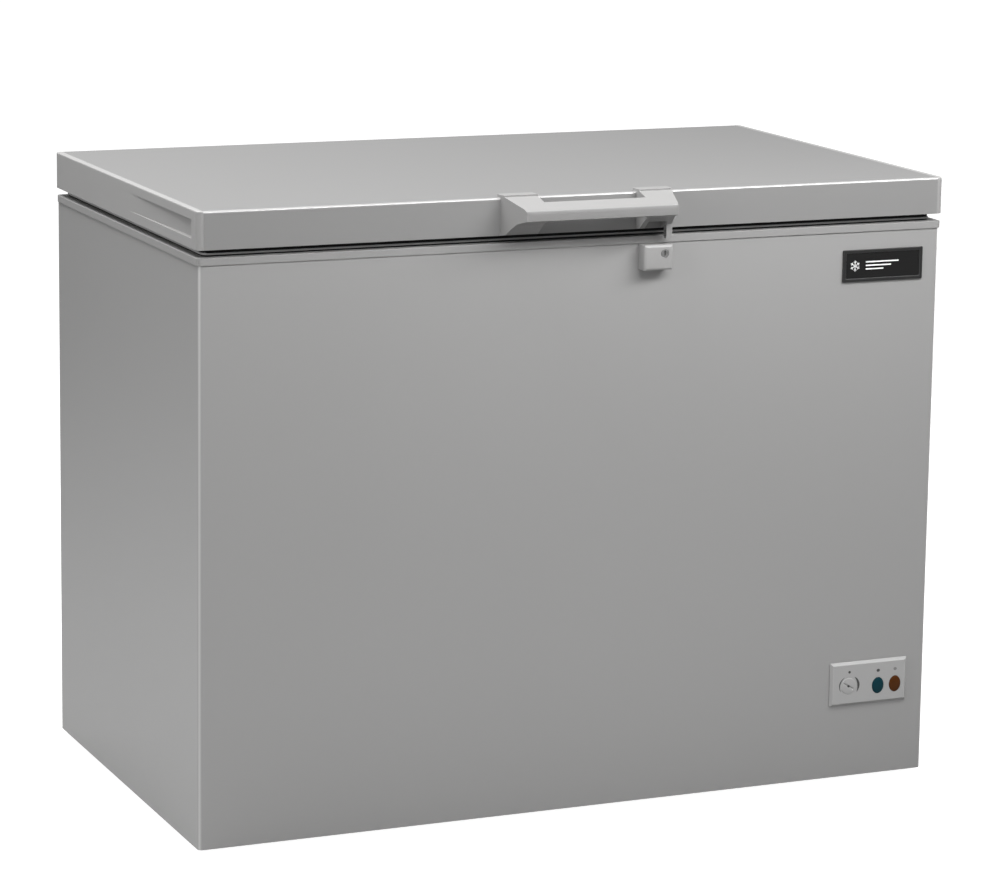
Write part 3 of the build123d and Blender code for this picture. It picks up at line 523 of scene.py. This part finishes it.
# %% The lock
def raise_face(piece, normal, border, lift):
    """Insets the faces that look along a direction and lifts them, which leaves a sloped border."""
    deselect()
    for part in (piece.data.vertices, piece.data.edges, piece.data.polygons):
        part.foreach_set("select", [False] * len(part))
    for face in piece.data.polygons:
        face.select = face.normal.dot(Vector(normal)) > 0.99
    pick(piece)
    bpy.ops.object.mode_set(mode="EDIT")
    bpy.ops.mesh.select_mode(type="FACE")
    bpy.ops.mesh.inset(thickness=border, depth=lift)
    bpy.ops.mesh.select_mode(type="VERT")
    bpy.ops.object.mode_set(mode="OBJECT")
    return piece


def build_lock():
    low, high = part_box("lock_body")
    key_low, key_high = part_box("lock_cylinder")
    hook_low, hook_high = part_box("lock_hook")
    x, z = (key_low[0] + key_high[0]) / 2, (key_low[2] + key_high[2]) / 2
    housing = slab("lock_housing", (low[0], low[1] + 2 * MM, low[2]), high)
    raise_face(housing, (0, -1, 0), 3 * MM, 2 * MM)
    soften(housing, 0.5 * MM, 3, 25)
    seat = rod("seat", (x, low[1] - MM, z), (x, low[1] + 8.3 * MM, z), 6.2 * MM, 48)
    slot = slab("slot", (low[0] + 1.6 * MM, hook_low[1] - MM, z - 8 * MM),
                (high[0] - 1.9 * MM, hook_high[1] + MM, high[2] + MM))
    place(paint(smooth(carve(housing, seat, slot), 20), finishes["cap_plastic"]), "lock_body")
    barrel = rod("key_barrel", (x, low[1] + 0.2 * MM, z), (x, low[1] + 8 * MM, z), 6 * MM, 48)
    soften(barrel, 0.5 * MM, 2)
    keyhole = prism("keyhole", turned_slot(x, z, 7.4 * MM, 1.9 * MM, 90), "Y", low[1] - MM, low[1] + 5 * MM)
    dimple = rod("dimple", (x, low[1] - MM, z), (x, low[1] + 1.0 * MM, z), 3.6 * MM, 32)
    place(paint(smooth(carve(barrel, keyhole, dimple)), finishes["barrel_grey"]), "lock_cylinder")


build_lock()

# %% [markdown]
# ## The lid's seal
# The seal is an extruded magnetic gasket, mitred into a ring. Seen from outside it has three steps: a wall,
# a rib that bulges out, and a soft sole. The wall and the sole are painted near black, which is painted
# shade in the gap under the lid, and the rib is painted light grey, which is a painted highlight on the
# bulge. Each step is a ring: one rounded prism cut out of another.

# %% A ring helper
def rounded(low, high, radius, inset=0.0, steps=6):
    """The corner points of a rectangle with rounded corners, counter-clockwise."""
    r = max(radius - inset, 0.1 * MM)
    places = [(high[0], high[1], 0), (low[0], high[1], 90), (low[0], low[1], 180), (high[0], low[1], 270)]
    points = []
    for x, y, start in places:
        u = x - (inset + r) * (1 if x == high[0] else -1)
        v = y - (inset + r) * (1 if y == high[1] else -1)
        for step in range(steps + 1):
            angle = radians(start + 90 * step / steps)
            points.append((u + r * cos(angle), v + r * sin(angle)))
    return points


def frame_ring(name, low, high, radius, outer, inner, axis, start, end):
    """A ring between two insets of one rounded rectangle."""
    ring = prism(name, rounded(low, high, radius, outer), axis, start, end)
    reach = 0.01 if end > start else -0.01
    return carve(ring, prism("hole", rounded(low, high, radius, inner), axis, start - reach, end + reach))


# %% The seal
def build_seal():
    low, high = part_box("lid_gasket")
    bottom, top = low[2], high[2]
    steps = [("wall", 2.0, 13.2, bottom + 1.9 * MM, top), ("sole", 2.4, 12.4, bottom, bottom + 2.0 * MM)]
    for name, outer, inner, start, end in steps:
        part = frame_ring("seal_" + name, low, high, 12 * MM, outer * MM, inner * MM, "Z", start, end)
        # The near-black of the wall and the sole is painted shade in the gap under the lid.
        place(paint(soften(part, 0.5 * MM), finishes["black_rubber_and_seal_shade"]), "lid_gasket")
    # The rib's light grey is a painted highlight on its bulge.
    rib = frame_ring("grey_rubber_and_seal_highlight", low, high, 12 * MM, 0.6 * MM, 4 * MM, "Z",
                     bottom + 1.9 * MM, bottom + 4.6 * MM)
    place(paint(soften(rib, 0.9 * MM), finishes["grey_rubber_and_seal_highlight"]), "lid_gasket")


build_seal()
print("seal ring made in three steps")

# %% [markdown]
# ## The control panel
# The panel is a bevelled plate. The scale around the dial is printed: a dot at the top, a thin arc on the
# left and a crescent that thickens on the right. Print has almost no thickness, so each mark is a prism a
# tenth of a millimetre proud. The two lamps are oval domes, each made from a sphere that is cut flat at the
# panel.

# %% The panel and its print
panel_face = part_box("control_panel")[0][1]
dial_low, dial_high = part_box("thermostat_dial")
dial_x, dial_z = (dial_low[0] + dial_high[0]) / 2, (dial_low[2] + dial_high[2]) / 2


def arc_band(x, z, radius, thick, start, end, steps=20):
    """A curved band that grows from nothing to its full thickness and shrinks again."""
    outside, inside = [], []
    for step in range(steps + 1):
        angle = radians(start + (end - start) * step / steps)
        swell = 0.15 + 0.85 * sin(pi * step / steps)
        for side, reach in ((outside, radius + thick * swell / 2), (inside, radius - thick * swell / 2)):
            side.append((x + reach * cos(angle), z + reach * sin(angle)))
    return outside + inside[::-1]


def disc(x, z, wide, high, steps=32):
    return [(x + wide * cos(2 * pi * k / steps), z + high * sin(2 * pi * k / steps)) for k in range(steps)]


def printed(name, outline, finish_name, node="control_panel"):
    mark = prism(name, outline, "Y", panel_face, panel_face - 0.12 * MM)
    return attach(paint(mark, finishes[finish_name]), node)


refined("control_panel", "panel_plastic", 0.5, 2)
printed("scale_dot", disc(dial_x + 1 * MM, dial_z + 20.5 * MM, 1.9 * MM, 1.9 * MM), "print_dark")
printed("scale_left", arc_band(dial_x, dial_z, 14.5 * MM, 1.6 * MM, 118, 212), "print_dark")
printed("scale_right", arc_band(dial_x, dial_z, 16 * MM, 3.6 * MM, 52, -34), "print_dark")

# %% [markdown]
# The dial is a shallow disc with a coin slot, turned to its middle setting. It is a circle extruded towards
# the room, then cut with a thin turned prism.

# %% The dial
def build_dial():
    face = panel_face - 0.5 * MM
    dial = prism("dial", disc(dial_x, dial_z, 11.8 * MM, 11.8 * MM, 64), "Y", panel_face + 2 * MM, face)
    slot = turned_slot(dial_x, dial_z, 18 * MM, 2.4 * MM, 150)
    carve(dial, prism("slot", slot, "Y", face - 0.01, face + 1.2 * MM))
    place(paint(soften(dial, 0.5 * MM), finishes["panel_plastic"]), "thermostat_dial")
    hub = prism("dial_hub", disc(dial_x, dial_z, 1.7 * MM, 1.7 * MM), "Y", face + 1.3 * MM, face - 0.1 * MM)
    place(paint(soften(hub, 0.3 * MM), finishes["print_dark"]), "thermostat_dial")


build_dial()

# %% The lamps
def build_lamp(node, material, icon_finish):
    low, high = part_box(node)
    middle = [(a + b) / 2 for a, b in zip(low, high)]
    deselect()
    bpy.ops.mesh.primitive_uv_sphere_add(segments=48, ring_count=24, radius=1)
    lens = bpy.context.active_object
    lens.scale = ((high[0] - low[0]) / 2, 2.4 * MM, (high[2] - low[2]) / 2)
    lens.location = (middle[0], panel_face + 0.6 * MM, middle[2])
    take(node + "_lens")
    edit(lens, lambda: bpy.ops.mesh.bisect(plane_co=(0, panel_face + 0.8 * MM, 0), plane_no=(0, 1, 0),
                                           clear_outer=True, use_fill=True), outwards)
    place(paint(smooth(lens, 60), finishes[material]), node)
    printed(node + "_icon", disc(middle[0], middle[2] + 22 * MM, 2.6 * MM, 2.2 * MM), icon_finish)


build_lamp("lamp_green", "lens_green", "print_dark")
build_lamp("lamp_amber", "lens_amber", "print_grey")
print("panel, dial and two lamps at x", round(dial_x, 4))

# %% [markdown]
# ## The badge
# The badge is a black frame with a sunken glossy plate. It carries a plain snow crystal and three bars, all
# of them thin raised strips, and no lettering.

# %% The badge
def strip(name, start, end, width, front):
    """A thin raised bar on the badge between two (x, z) points."""
    start, end = Vector(start), Vector(end)
    middle = (start + end) / 2
    angle = Vector((1, 0)).angle_signed(end - start) * -180 / pi
    outline = turned_slot(middle.x, middle.y, (end - start).length, width, angle)
    return prism(name, outline, "Y", front, front - 0.3 * MM)


def build_badge():
    refined("badge_frame", "badge_black", 0.8, 3)
    refined("badge_face", "badge_gloss", 0.2, 1)
    low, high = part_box("badge_face")
    x, z = low[0] + 14 * MM, (low[2] + high[2]) / 2
    marks = []
    for turn in range(6):
        way = Vector((cos(radians(30 + 60 * turn)), sin(radians(30 + 60 * turn))))
        tip = Vector((x, z)) + way * 7.5 * MM
        marks.append(strip("arm", (x, z), tip, 1.1 * MM, low[1]))
        for bend in (-50, 50):
            side = Vector((way.x * cos(radians(bend)) - way.y * sin(radians(bend)),
                           way.x * sin(radians(bend)) + way.y * cos(radians(bend))))
            root = Vector((x, z)) + way * 4.3 * MM
            marks.append(strip("twig", root, root + side * 2.8 * MM, 0.8 * MM, low[1]))
    for row, length in enumerate((52, 40, 28)):
        height = z + (5 - 5 * row) * MM
        marks.append(strip("bar", (x + 17 * MM, height), (x + (17 + length) * MM, height), 1.8 * MM, low[1]))
    attach(paint(join("badge_emblem", marks), finishes["print_light"]), "badge_face")


build_badge()
print("badge made")

# %% [markdown]
# ## Wires
# The basket, its two bails and the springs are bent wire. A wire starts as an open line of vertices.
# Bevelling the vertices rounds the bends, and turned into a curve the line gets a round section. Repeated
# wires come from an array modifier, so one wire is shaped once.

# %% A wire helper
def wire(name, points, radius, bend=0.0, closed=False, fine=2):
    """A round wire through points, with every corner bent to a radius."""
    deselect()
    bpy.ops.mesh.primitive_circle_add(vertices=len(points), fill_type="NOTHING")
    line = take(name)
    for vertex, point in zip(line.data.vertices, points):
        vertex.co = point
    bpy.ops.object.mode_set(mode="EDIT")
    bpy.ops.mesh.select_mode(type="EDGE")
    bpy.ops.object.mode_set(mode="OBJECT")
    last = {0, len(points) - 1}
    for vertex in line.data.vertices:
        vertex.select = False
    for edge in line.data.edges:
        edge.select = set(edge.vertices) == last and not closed
    bpy.ops.object.mode_set(mode="EDIT")
    bpy.ops.mesh.delete(type="EDGE")
    bpy.ops.mesh.select_mode(type="VERT")
    bpy.ops.mesh.select_all(action="SELECT")
    if bend:
        bpy.ops.mesh.bevel(offset=bend, segments=4, affect="VERTICES")
    bpy.ops.object.mode_set(mode="OBJECT")
    bpy.ops.object.convert(target="CURVE")
    line = bpy.context.active_object
    line.data.bevel_depth = radius
    line.data.bevel_resolution = fine
    line.data.use_fill_caps = True
    bpy.ops.object.convert(target="MESH")
    line = bpy.context.active_object
    line.name = line.data.name = name
    edit(line, outwards)
    return smooth(line, 50)


def row_of(piece, count, step):
    return apply(piece, "ARRAY", count=count, use_relative_offset=False, use_constant_offset=True,
                 constant_offset_displace=step)


# %% The basket
basket_left, basket_right = 0.219, 0.453
basket_front, basket_rear = -0.21905, 0.25495
basket_floor = 0.600
mesh_wire, rim_wire = 1.25 * MM, 2.6 * MM
clip_length, clip_play = 3.5 * MM, 0.3 * MM


def build_basket():
    low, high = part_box("wire_basket")
    thin, thick, hook_rise = mesh_wire, rim_wire, 13.5 * MM
    left, right = basket_left + thin, basket_right - thin
    front, rear = basket_front + thin, basket_rear - thin
    floor, rim = basket_floor + thin, high[2] - hook_rise - thick
    hoop = [(left, front, floor + 22 * MM), (right, front, floor + 22 * MM),
            (right, rear, floor + 22 * MM), (left, rear, floor + 22 * MM)]
    parts = [
        row_of(wire("across", [(left, front + 12 * MM, rim), (left, front + 12 * MM, floor),
                               (right, front + 12 * MM, floor), (right, front + 12 * MM, rim)], thin, 8 * MM),
               19, (0, (rear - front - 24 * MM) / 18, 0)),
        row_of(wire("along", [(left + 13 * MM, front, rim), (left + 13 * MM, front, floor),
                              (left + 13 * MM, rear, floor), (left + 13 * MM, rear, rim)], thin, 8 * MM),
               10, ((right - left - 26 * MM) / 9, 0, 0)),
        row_of(wire("band", hoop, thin, 8 * MM, True), 6, (0, 0, 25 * MM)),
    ]
    edge = thick - thin
    corners = [(left + edge, front + edge, rim), (right - edge, front + edge, rim),
               (right - edge, rear - edge, rim), (left + edge, rear - edge, rim)]
    parts.append(wire("rim", corners, thick, 10 * MM, True, 3))
    for side, wall in ((-1, front + edge), (1, rear - edge)):
        outer = low[1] + 1.8 * MM if side < 0 else high[1] - 1.8 * MM
        for x in (left + 30 * MM, right - 30 * MM):
            top = high[2] - 1.7 * MM
            loop = [(x - 6 * MM, wall, rim), (x - 6 * MM, wall, top), (x - 6 * MM, outer, top),
                    (x + 6 * MM, outer, top), (x + 6 * MM, wall, top), (x + 6 * MM, wall, rim)]
            parts.append(wire("hook", loop, 1.6 * MM, 3 * MM))
    place(paint(join("basket_wires", parts), finishes["wire_white"]), "wire_basket")


def build_bail(node):
    low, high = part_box(node)
    r = 1.75 * MM
    y = (low[1] + high[1]) / 2
    left, right, top, bottom = low[0], high[0], high[2] - r, low[2] + r
    points = [(left, y, top), (left + 8 * MM, y, top), (left + 8 * MM, y, bottom),
              (right - 8 * MM, y, bottom), (right - 8 * MM, y, top), (right, y, top)]
    place(paint(wire(node + "_wire", points, r, 4 * MM, fine=3), finishes["bright_steel"]), node)
    grip = rod(node + "_grip", (left + 20 * MM, y, bottom), (right - 20 * MM, y, bottom), 1.2 * r, 24)
    place(paint(soften(grip, 0.5 * MM), finishes["inner_plastic"]), node)
    parts = []
    for x in (left + 1 * MM, right - 4.5 * MM):
        wall = basket_front if y < 0 else basket_rear
        eye = rod("clip", (x, y, top), (x + clip_length, y, top), 3.6 * MM, 24)
        arm = slab("arm", (x, min(y, wall), top - 1.5 * MM), (x + clip_length, max(y, wall), top + 3 * MM))
        for part in (soften(eye, 0.4 * MM), soften(arm, 0.4 * MM)):
            bore = rod("bore", (x - MM, y, top), (x + 4.5 * MM, y, top), r + clip_play, 24)
            parts.append(carve(part, bore))
    attach(paint(join(node + "_clips", parts), finishes["wire_white"]), "wire_basket")


build_basket()
build_bail("basket_bail_front")
build_bail("basket_bail_rear")

# %% [markdown]
# ## The hinges' springs
# A chest lid is heavy, so a coil spring on each hinge pin carries part of it. A screw modifier turns one
# small circle around the pin while it moves along it. One leg presses on the cabinet's plate, and the other
# on the lid's arm, so that leg rides with the lid, and the last turn rides with it.

# %% The springs
pin_low, pin_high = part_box("hinge_pins")
pin_y, pin_z = (pin_low[1] + pin_high[1]) / 2, (pin_low[2] + pin_high[2]) / 2
hinge_x = 0.380
coil_radius, spring_wire = 6.0 * MM, 1.15 * MM
coil_pitch, coil_turns = 2.6 * MM, 13
spring_half = 18.2 * MM
leg_reach, leg_bend = 34 * MM, 12 * MM


def build_coil(x):
    """The coil round one pin: its wire is a circle drawn through the pin's axis, swept round and along."""
    deselect()
    bpy.ops.mesh.primitive_circle_add(vertices=12, radius=spring_wire, fill_type="NOTHING",
                                      location=(0, coil_radius, 0))
    coil = bpy.context.active_object
    bpy.ops.object.transform_apply(location=True, rotation=True, scale=True)
    apply(coil, "SCREW", axis="X", screw_offset=coil_pitch, iterations=coil_turns, steps=20,
          render_steps=20, use_normal_calculate=True)
    edit(coil, lambda: bpy.ops.mesh.fill_holes(sides=16), outwards)
    coil.location = (x - spring_half, pin_y, pin_z)
    return smooth(take("coil"), 60)


def build_turn(x):
    """One flat turn about the pin: as the lid swings, it goes round in its own track, clear of the coil."""
    deselect()
    bpy.ops.mesh.primitive_torus_add(location=(x, pin_y, pin_z), rotation=(0, pi / 2, 0), major_segments=40,
                                     minor_segments=12, major_radius=coil_radius, minor_radius=spring_wire)
    bpy.ops.object.transform_apply(location=True, rotation=True, scale=True)
    return smooth(take("turn"), 60)


def build_springs():
    coils = []
    for side in (-1, 1):
        coils.append(build_coil(side * hinge_x))
        start = side * hinge_x - spring_half
        plate_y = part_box("hinge_bracket_right")[0][1] + 4.2 * MM
        coils.append(wire("leg", [(start, pin_y, pin_z - coil_radius), (start, plate_y, pin_z - leg_bend),
                                  (start, plate_y, pin_z - leg_reach)], spring_wire, 3 * MM))
        end = side * hinge_x + spring_half
        arm_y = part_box("hinge_arm_right")[0][1] + 4.2 * MM
        leg = wire("leg", [(end, pin_y, pin_z + coil_radius), (end, arm_y, pin_z + leg_bend),
                           (end, arm_y, pin_z + leg_reach)], spring_wire, 3 * MM)
        lid_leg = join("spring_leg_lid" + ("_left" if side < 0 else "_right"), [build_turn(end), leg])
        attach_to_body(paint(lid_leg, finishes["spring_steel"]), "lid")
    place(paint(join("hinge_coils", coils), finishes["spring_steel"]), "hinge_springs")


build_springs()
print("springs on the pins at y", round(pin_y, 4), "z", round(pin_z, 4))

# %% [markdown]
# ## Screws
# Each hinge is held by pan-head screws with a cross recess. One head is a cylinder with a rounded edge and
# two crossed slots cut into it, and its copies go where the plain screws are.

# %% The screws
def screw_places(node):
    """The middle of each loose solid in a node, found by walking its mesh."""
    probe = nodes[node].copy()
    probe.data = nodes[node].data.copy()
    probe.parent = None
    bpy.context.scene.collection.objects.link(probe)
    edit(probe, lambda: bpy.ops.mesh.remove_doubles(threshold=0.02 * MM),
         lambda: bpy.ops.mesh.separate(type="LOOSE"))
    found = []
    for piece in list(bpy.context.selected_objects) + [probe]:
        points = [v.co for v in piece.data.vertices]
        low = [min(p[i] for p in points) for i in range(3)]
        high = [max(p[i] for p in points) for i in range(3)]
        if (low, high) not in found:
            found.append((low, high))
    for piece in set(list(bpy.context.selected_objects) + [probe]):
        bpy.data.objects.remove(piece)
    return found


screw_head_height = 2 * MM
screw_shank_radius = 2.2 * MM


def cross_head(name, x, z, front, radius):
    head = rod(name, (x, front - screw_head_height, z), (x, front, z), radius, 32)
    soften(head, 0.8 * MM, 3)
    cross = [turned_slot(x, z, 1.2 * radius, 1.0 * MM, angle) for angle in (20, 110)]
    return carve(head, *[prism("cut", corners, "Y", front - 1.1 * MM, front + MM) for corners in cross])


def build_screws(node):
    heads = []
    for low, high in screw_places(node):
        x, z = (low[0] + high[0]) / 2, (low[2] + high[2]) / 2
        heads.append(cross_head("head", x, z, high[1], (high[0] - low[0]) / 2))
        shank_end = (x, high[1] - screw_head_height, z)
        heads.append(rod("shank", (x, low[1], z), shank_end, screw_shank_radius, 20))
    place(paint(smooth(join(node + "_heads", heads)), finishes["bright_steel"]), node)
    return len(heads) // 2


print("cabinet screws", build_screws("hinge_screws_cabinet"), "lid screws", build_screws("hinge_screws_lid"))

# %% [markdown]
# ## Rollers and feet
# The rollers are hard nylon wheels with a hub and a tread groove: a lathe profile that is spun round its
# axle.

# %% The rollers
def lathe(name, profile, centre, sides=48):
    """Spins (offset along X, radius) points round an axle along X."""
    deselect()
    bpy.ops.mesh.primitive_circle_add(vertices=len(profile), fill_type="NOTHING")
    piece = take(name)
    for vertex, (along, radius) in zip(piece.data.vertices, profile):
        vertex.co = (centre[0] + along, centre[1], centre[2] + radius)
    edit(piece, lambda: bpy.ops.mesh.spin(steps=sides, angle=2 * pi, center=centre, axis=(1, 0, 0)), outwards)
    return smooth(piece, 30)


def build_roller(node):
    low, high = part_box(node)
    centre = tuple((a + b) / 2 for a, b in zip(low, high))
    half, r = (high[0] - low[0]) / 2, (high[2] - low[2]) / 2
    side = [(half, 4.2 * MM), (half, 6.5 * MM), (half - 2 * MM, 7.2 * MM), (half - 2 * MM, r - 3 * MM),
            (half - 0.4 * MM, r - 2.2 * MM), (half - 0.8 * MM, r - 0.5 * MM), (half - 2 * MM, r)]
    groove = [(1.2 * MM, r), (0.6 * MM, r - 0.8 * MM)]
    profile = side + groove
    profile += [(-along, radius) for along, radius in reversed(profile)]
    place(paint(lathe(node + "_wheel", profile, centre), finishes["black_plastic"]), node)


build_roller("roller_left")
build_roller("roller_right")
print("rollers spun")

# %% [markdown]
# ## Studio
# A seamless pale floor and an even white surround give soft light from everywhere. One large lamp above the
# left side brightens the lid, and a weaker one in front lifts the right side of the cabinet.

# %% Floor, light and camera
def build_floor():
    deselect()
    bpy.ops.mesh.primitive_plane_add(size=30, location=(0, 0, 0))
    floor = take("studio_floor")
    material = bpy.data.materials.new("studio_white")
    material.use_nodes = True
    tree = material.node_tree
    shader = tree.nodes["Principled BSDF"]
    shader.inputs["Base Color"].default_value = (0.3, 0.3, 0.3, 1)
    shader.inputs["Roughness"].default_value = 0.9
    shader.inputs["Emission Color"].default_value = (1, 1, 1, 1)
    seen = tree.nodes.new("ShaderNodeLightPath")
    level = tree.nodes.new("ShaderNodeMapRange")
    level.inputs["To Min"].default_value, level.inputs["To Max"].default_value = 0.0, 1.0
    tree.links.new(seen.outputs["Is Camera Ray"], level.inputs["Value"])
    tree.links.new(level.outputs["Result"], shader.inputs["Emission Strength"])
    paint(floor, material)


def area_light(name, place, target, size, power):
    data = bpy.data.lights.new(name, "AREA")
    data.shape = "RECTANGLE"
    data.size, data.size_y, data.energy = size[0], size[1], power
    lamp = bpy.data.objects.new(name, data)
    lamp.location = place
    lamp.rotation_mode = "QUATERNION"
    lamp.rotation_quaternion = (Vector(target) - Vector(place)).to_track_quat("-Z", "Y")
    bpy.context.scene.collection.objects.link(lamp)


def build_light():
    world = bpy.data.worlds.new("studio")
    world.use_nodes = True
    tree = world.node_tree
    seen = tree.nodes.new("ShaderNodeLightPath")
    level = tree.nodes.new("ShaderNodeMapRange")
    level.inputs["To Min"].default_value, level.inputs["To Max"].default_value = 0.30, 1.0
    tree.links.new(seen.outputs["Is Camera Ray"], level.inputs["Value"])
    tree.links.new(level.outputs["Result"], tree.nodes["Background"].inputs["Strength"])
    tree.nodes["Background"].inputs["Color"].default_value = (1, 1, 1, 1)
    bpy.context.scene.world = world
    bpy.context.scene.view_settings.view_transform = "Standard"
    area_light("overhead", (-0.9, 0.5, 3.0), (0.0, 0.0, 0.8), (2.4, 1.8), 158)
    area_light("front_key", (1.7, -2.8, 2.5), (0.1, -0.3, 0.55), (0.9, 0.6), 28)
    area_light("front_top", (0.4, -1.1, 1.55), (0.1, -0.3, 0.75), (1.8, 0.12), 26)
    area_light("left_soft", (-3.2, 0.5, 1.4), (-0.5, 0.0, 0.6), (1.6, 1.4), 6)
    area_light("left_strip", (-2.6, -1.4, 1.5), (-0.5, -0.2, 1.1), (0.5, 1.4), 24)
    area_light("right_soft", (3.2, 0.5, 1.4), (0.5, 0.0, 0.6), (1.6, 1.4), 10)


def build_camera():
    turn, tilt, roll = radians(23.343), radians(10.299), radians(0.79)
    right = Vector((cos(turn), -sin(turn), 0))
    ahead = Vector((sin(turn) * cos(tilt), cos(turn) * cos(tilt), -sin(tilt)))
    above = right.cross(ahead)
    side = cos(roll) * right + sin(roll) * above
    head = -sin(roll) * right + cos(roll) * above
    data = bpy.data.cameras.new("camera")
    data.sensor_width, data.lens, data.shift_y = 36.0, 136.86, -0.1
    data.clip_end = 100
    camera = bpy.data.objects.new("camera", data)
    camera.rotation_mode = "QUATERNION"
    camera.rotation_quaternion = Matrix((side, head, -ahead)).transposed().to_quaternion()
    camera.location = (-2.0968, -4.849, 1.5655)
    bpy.context.scene.collection.objects.link(camera)
    bpy.context.scene.camera = camera


build_floor()
build_light()
build_camera()
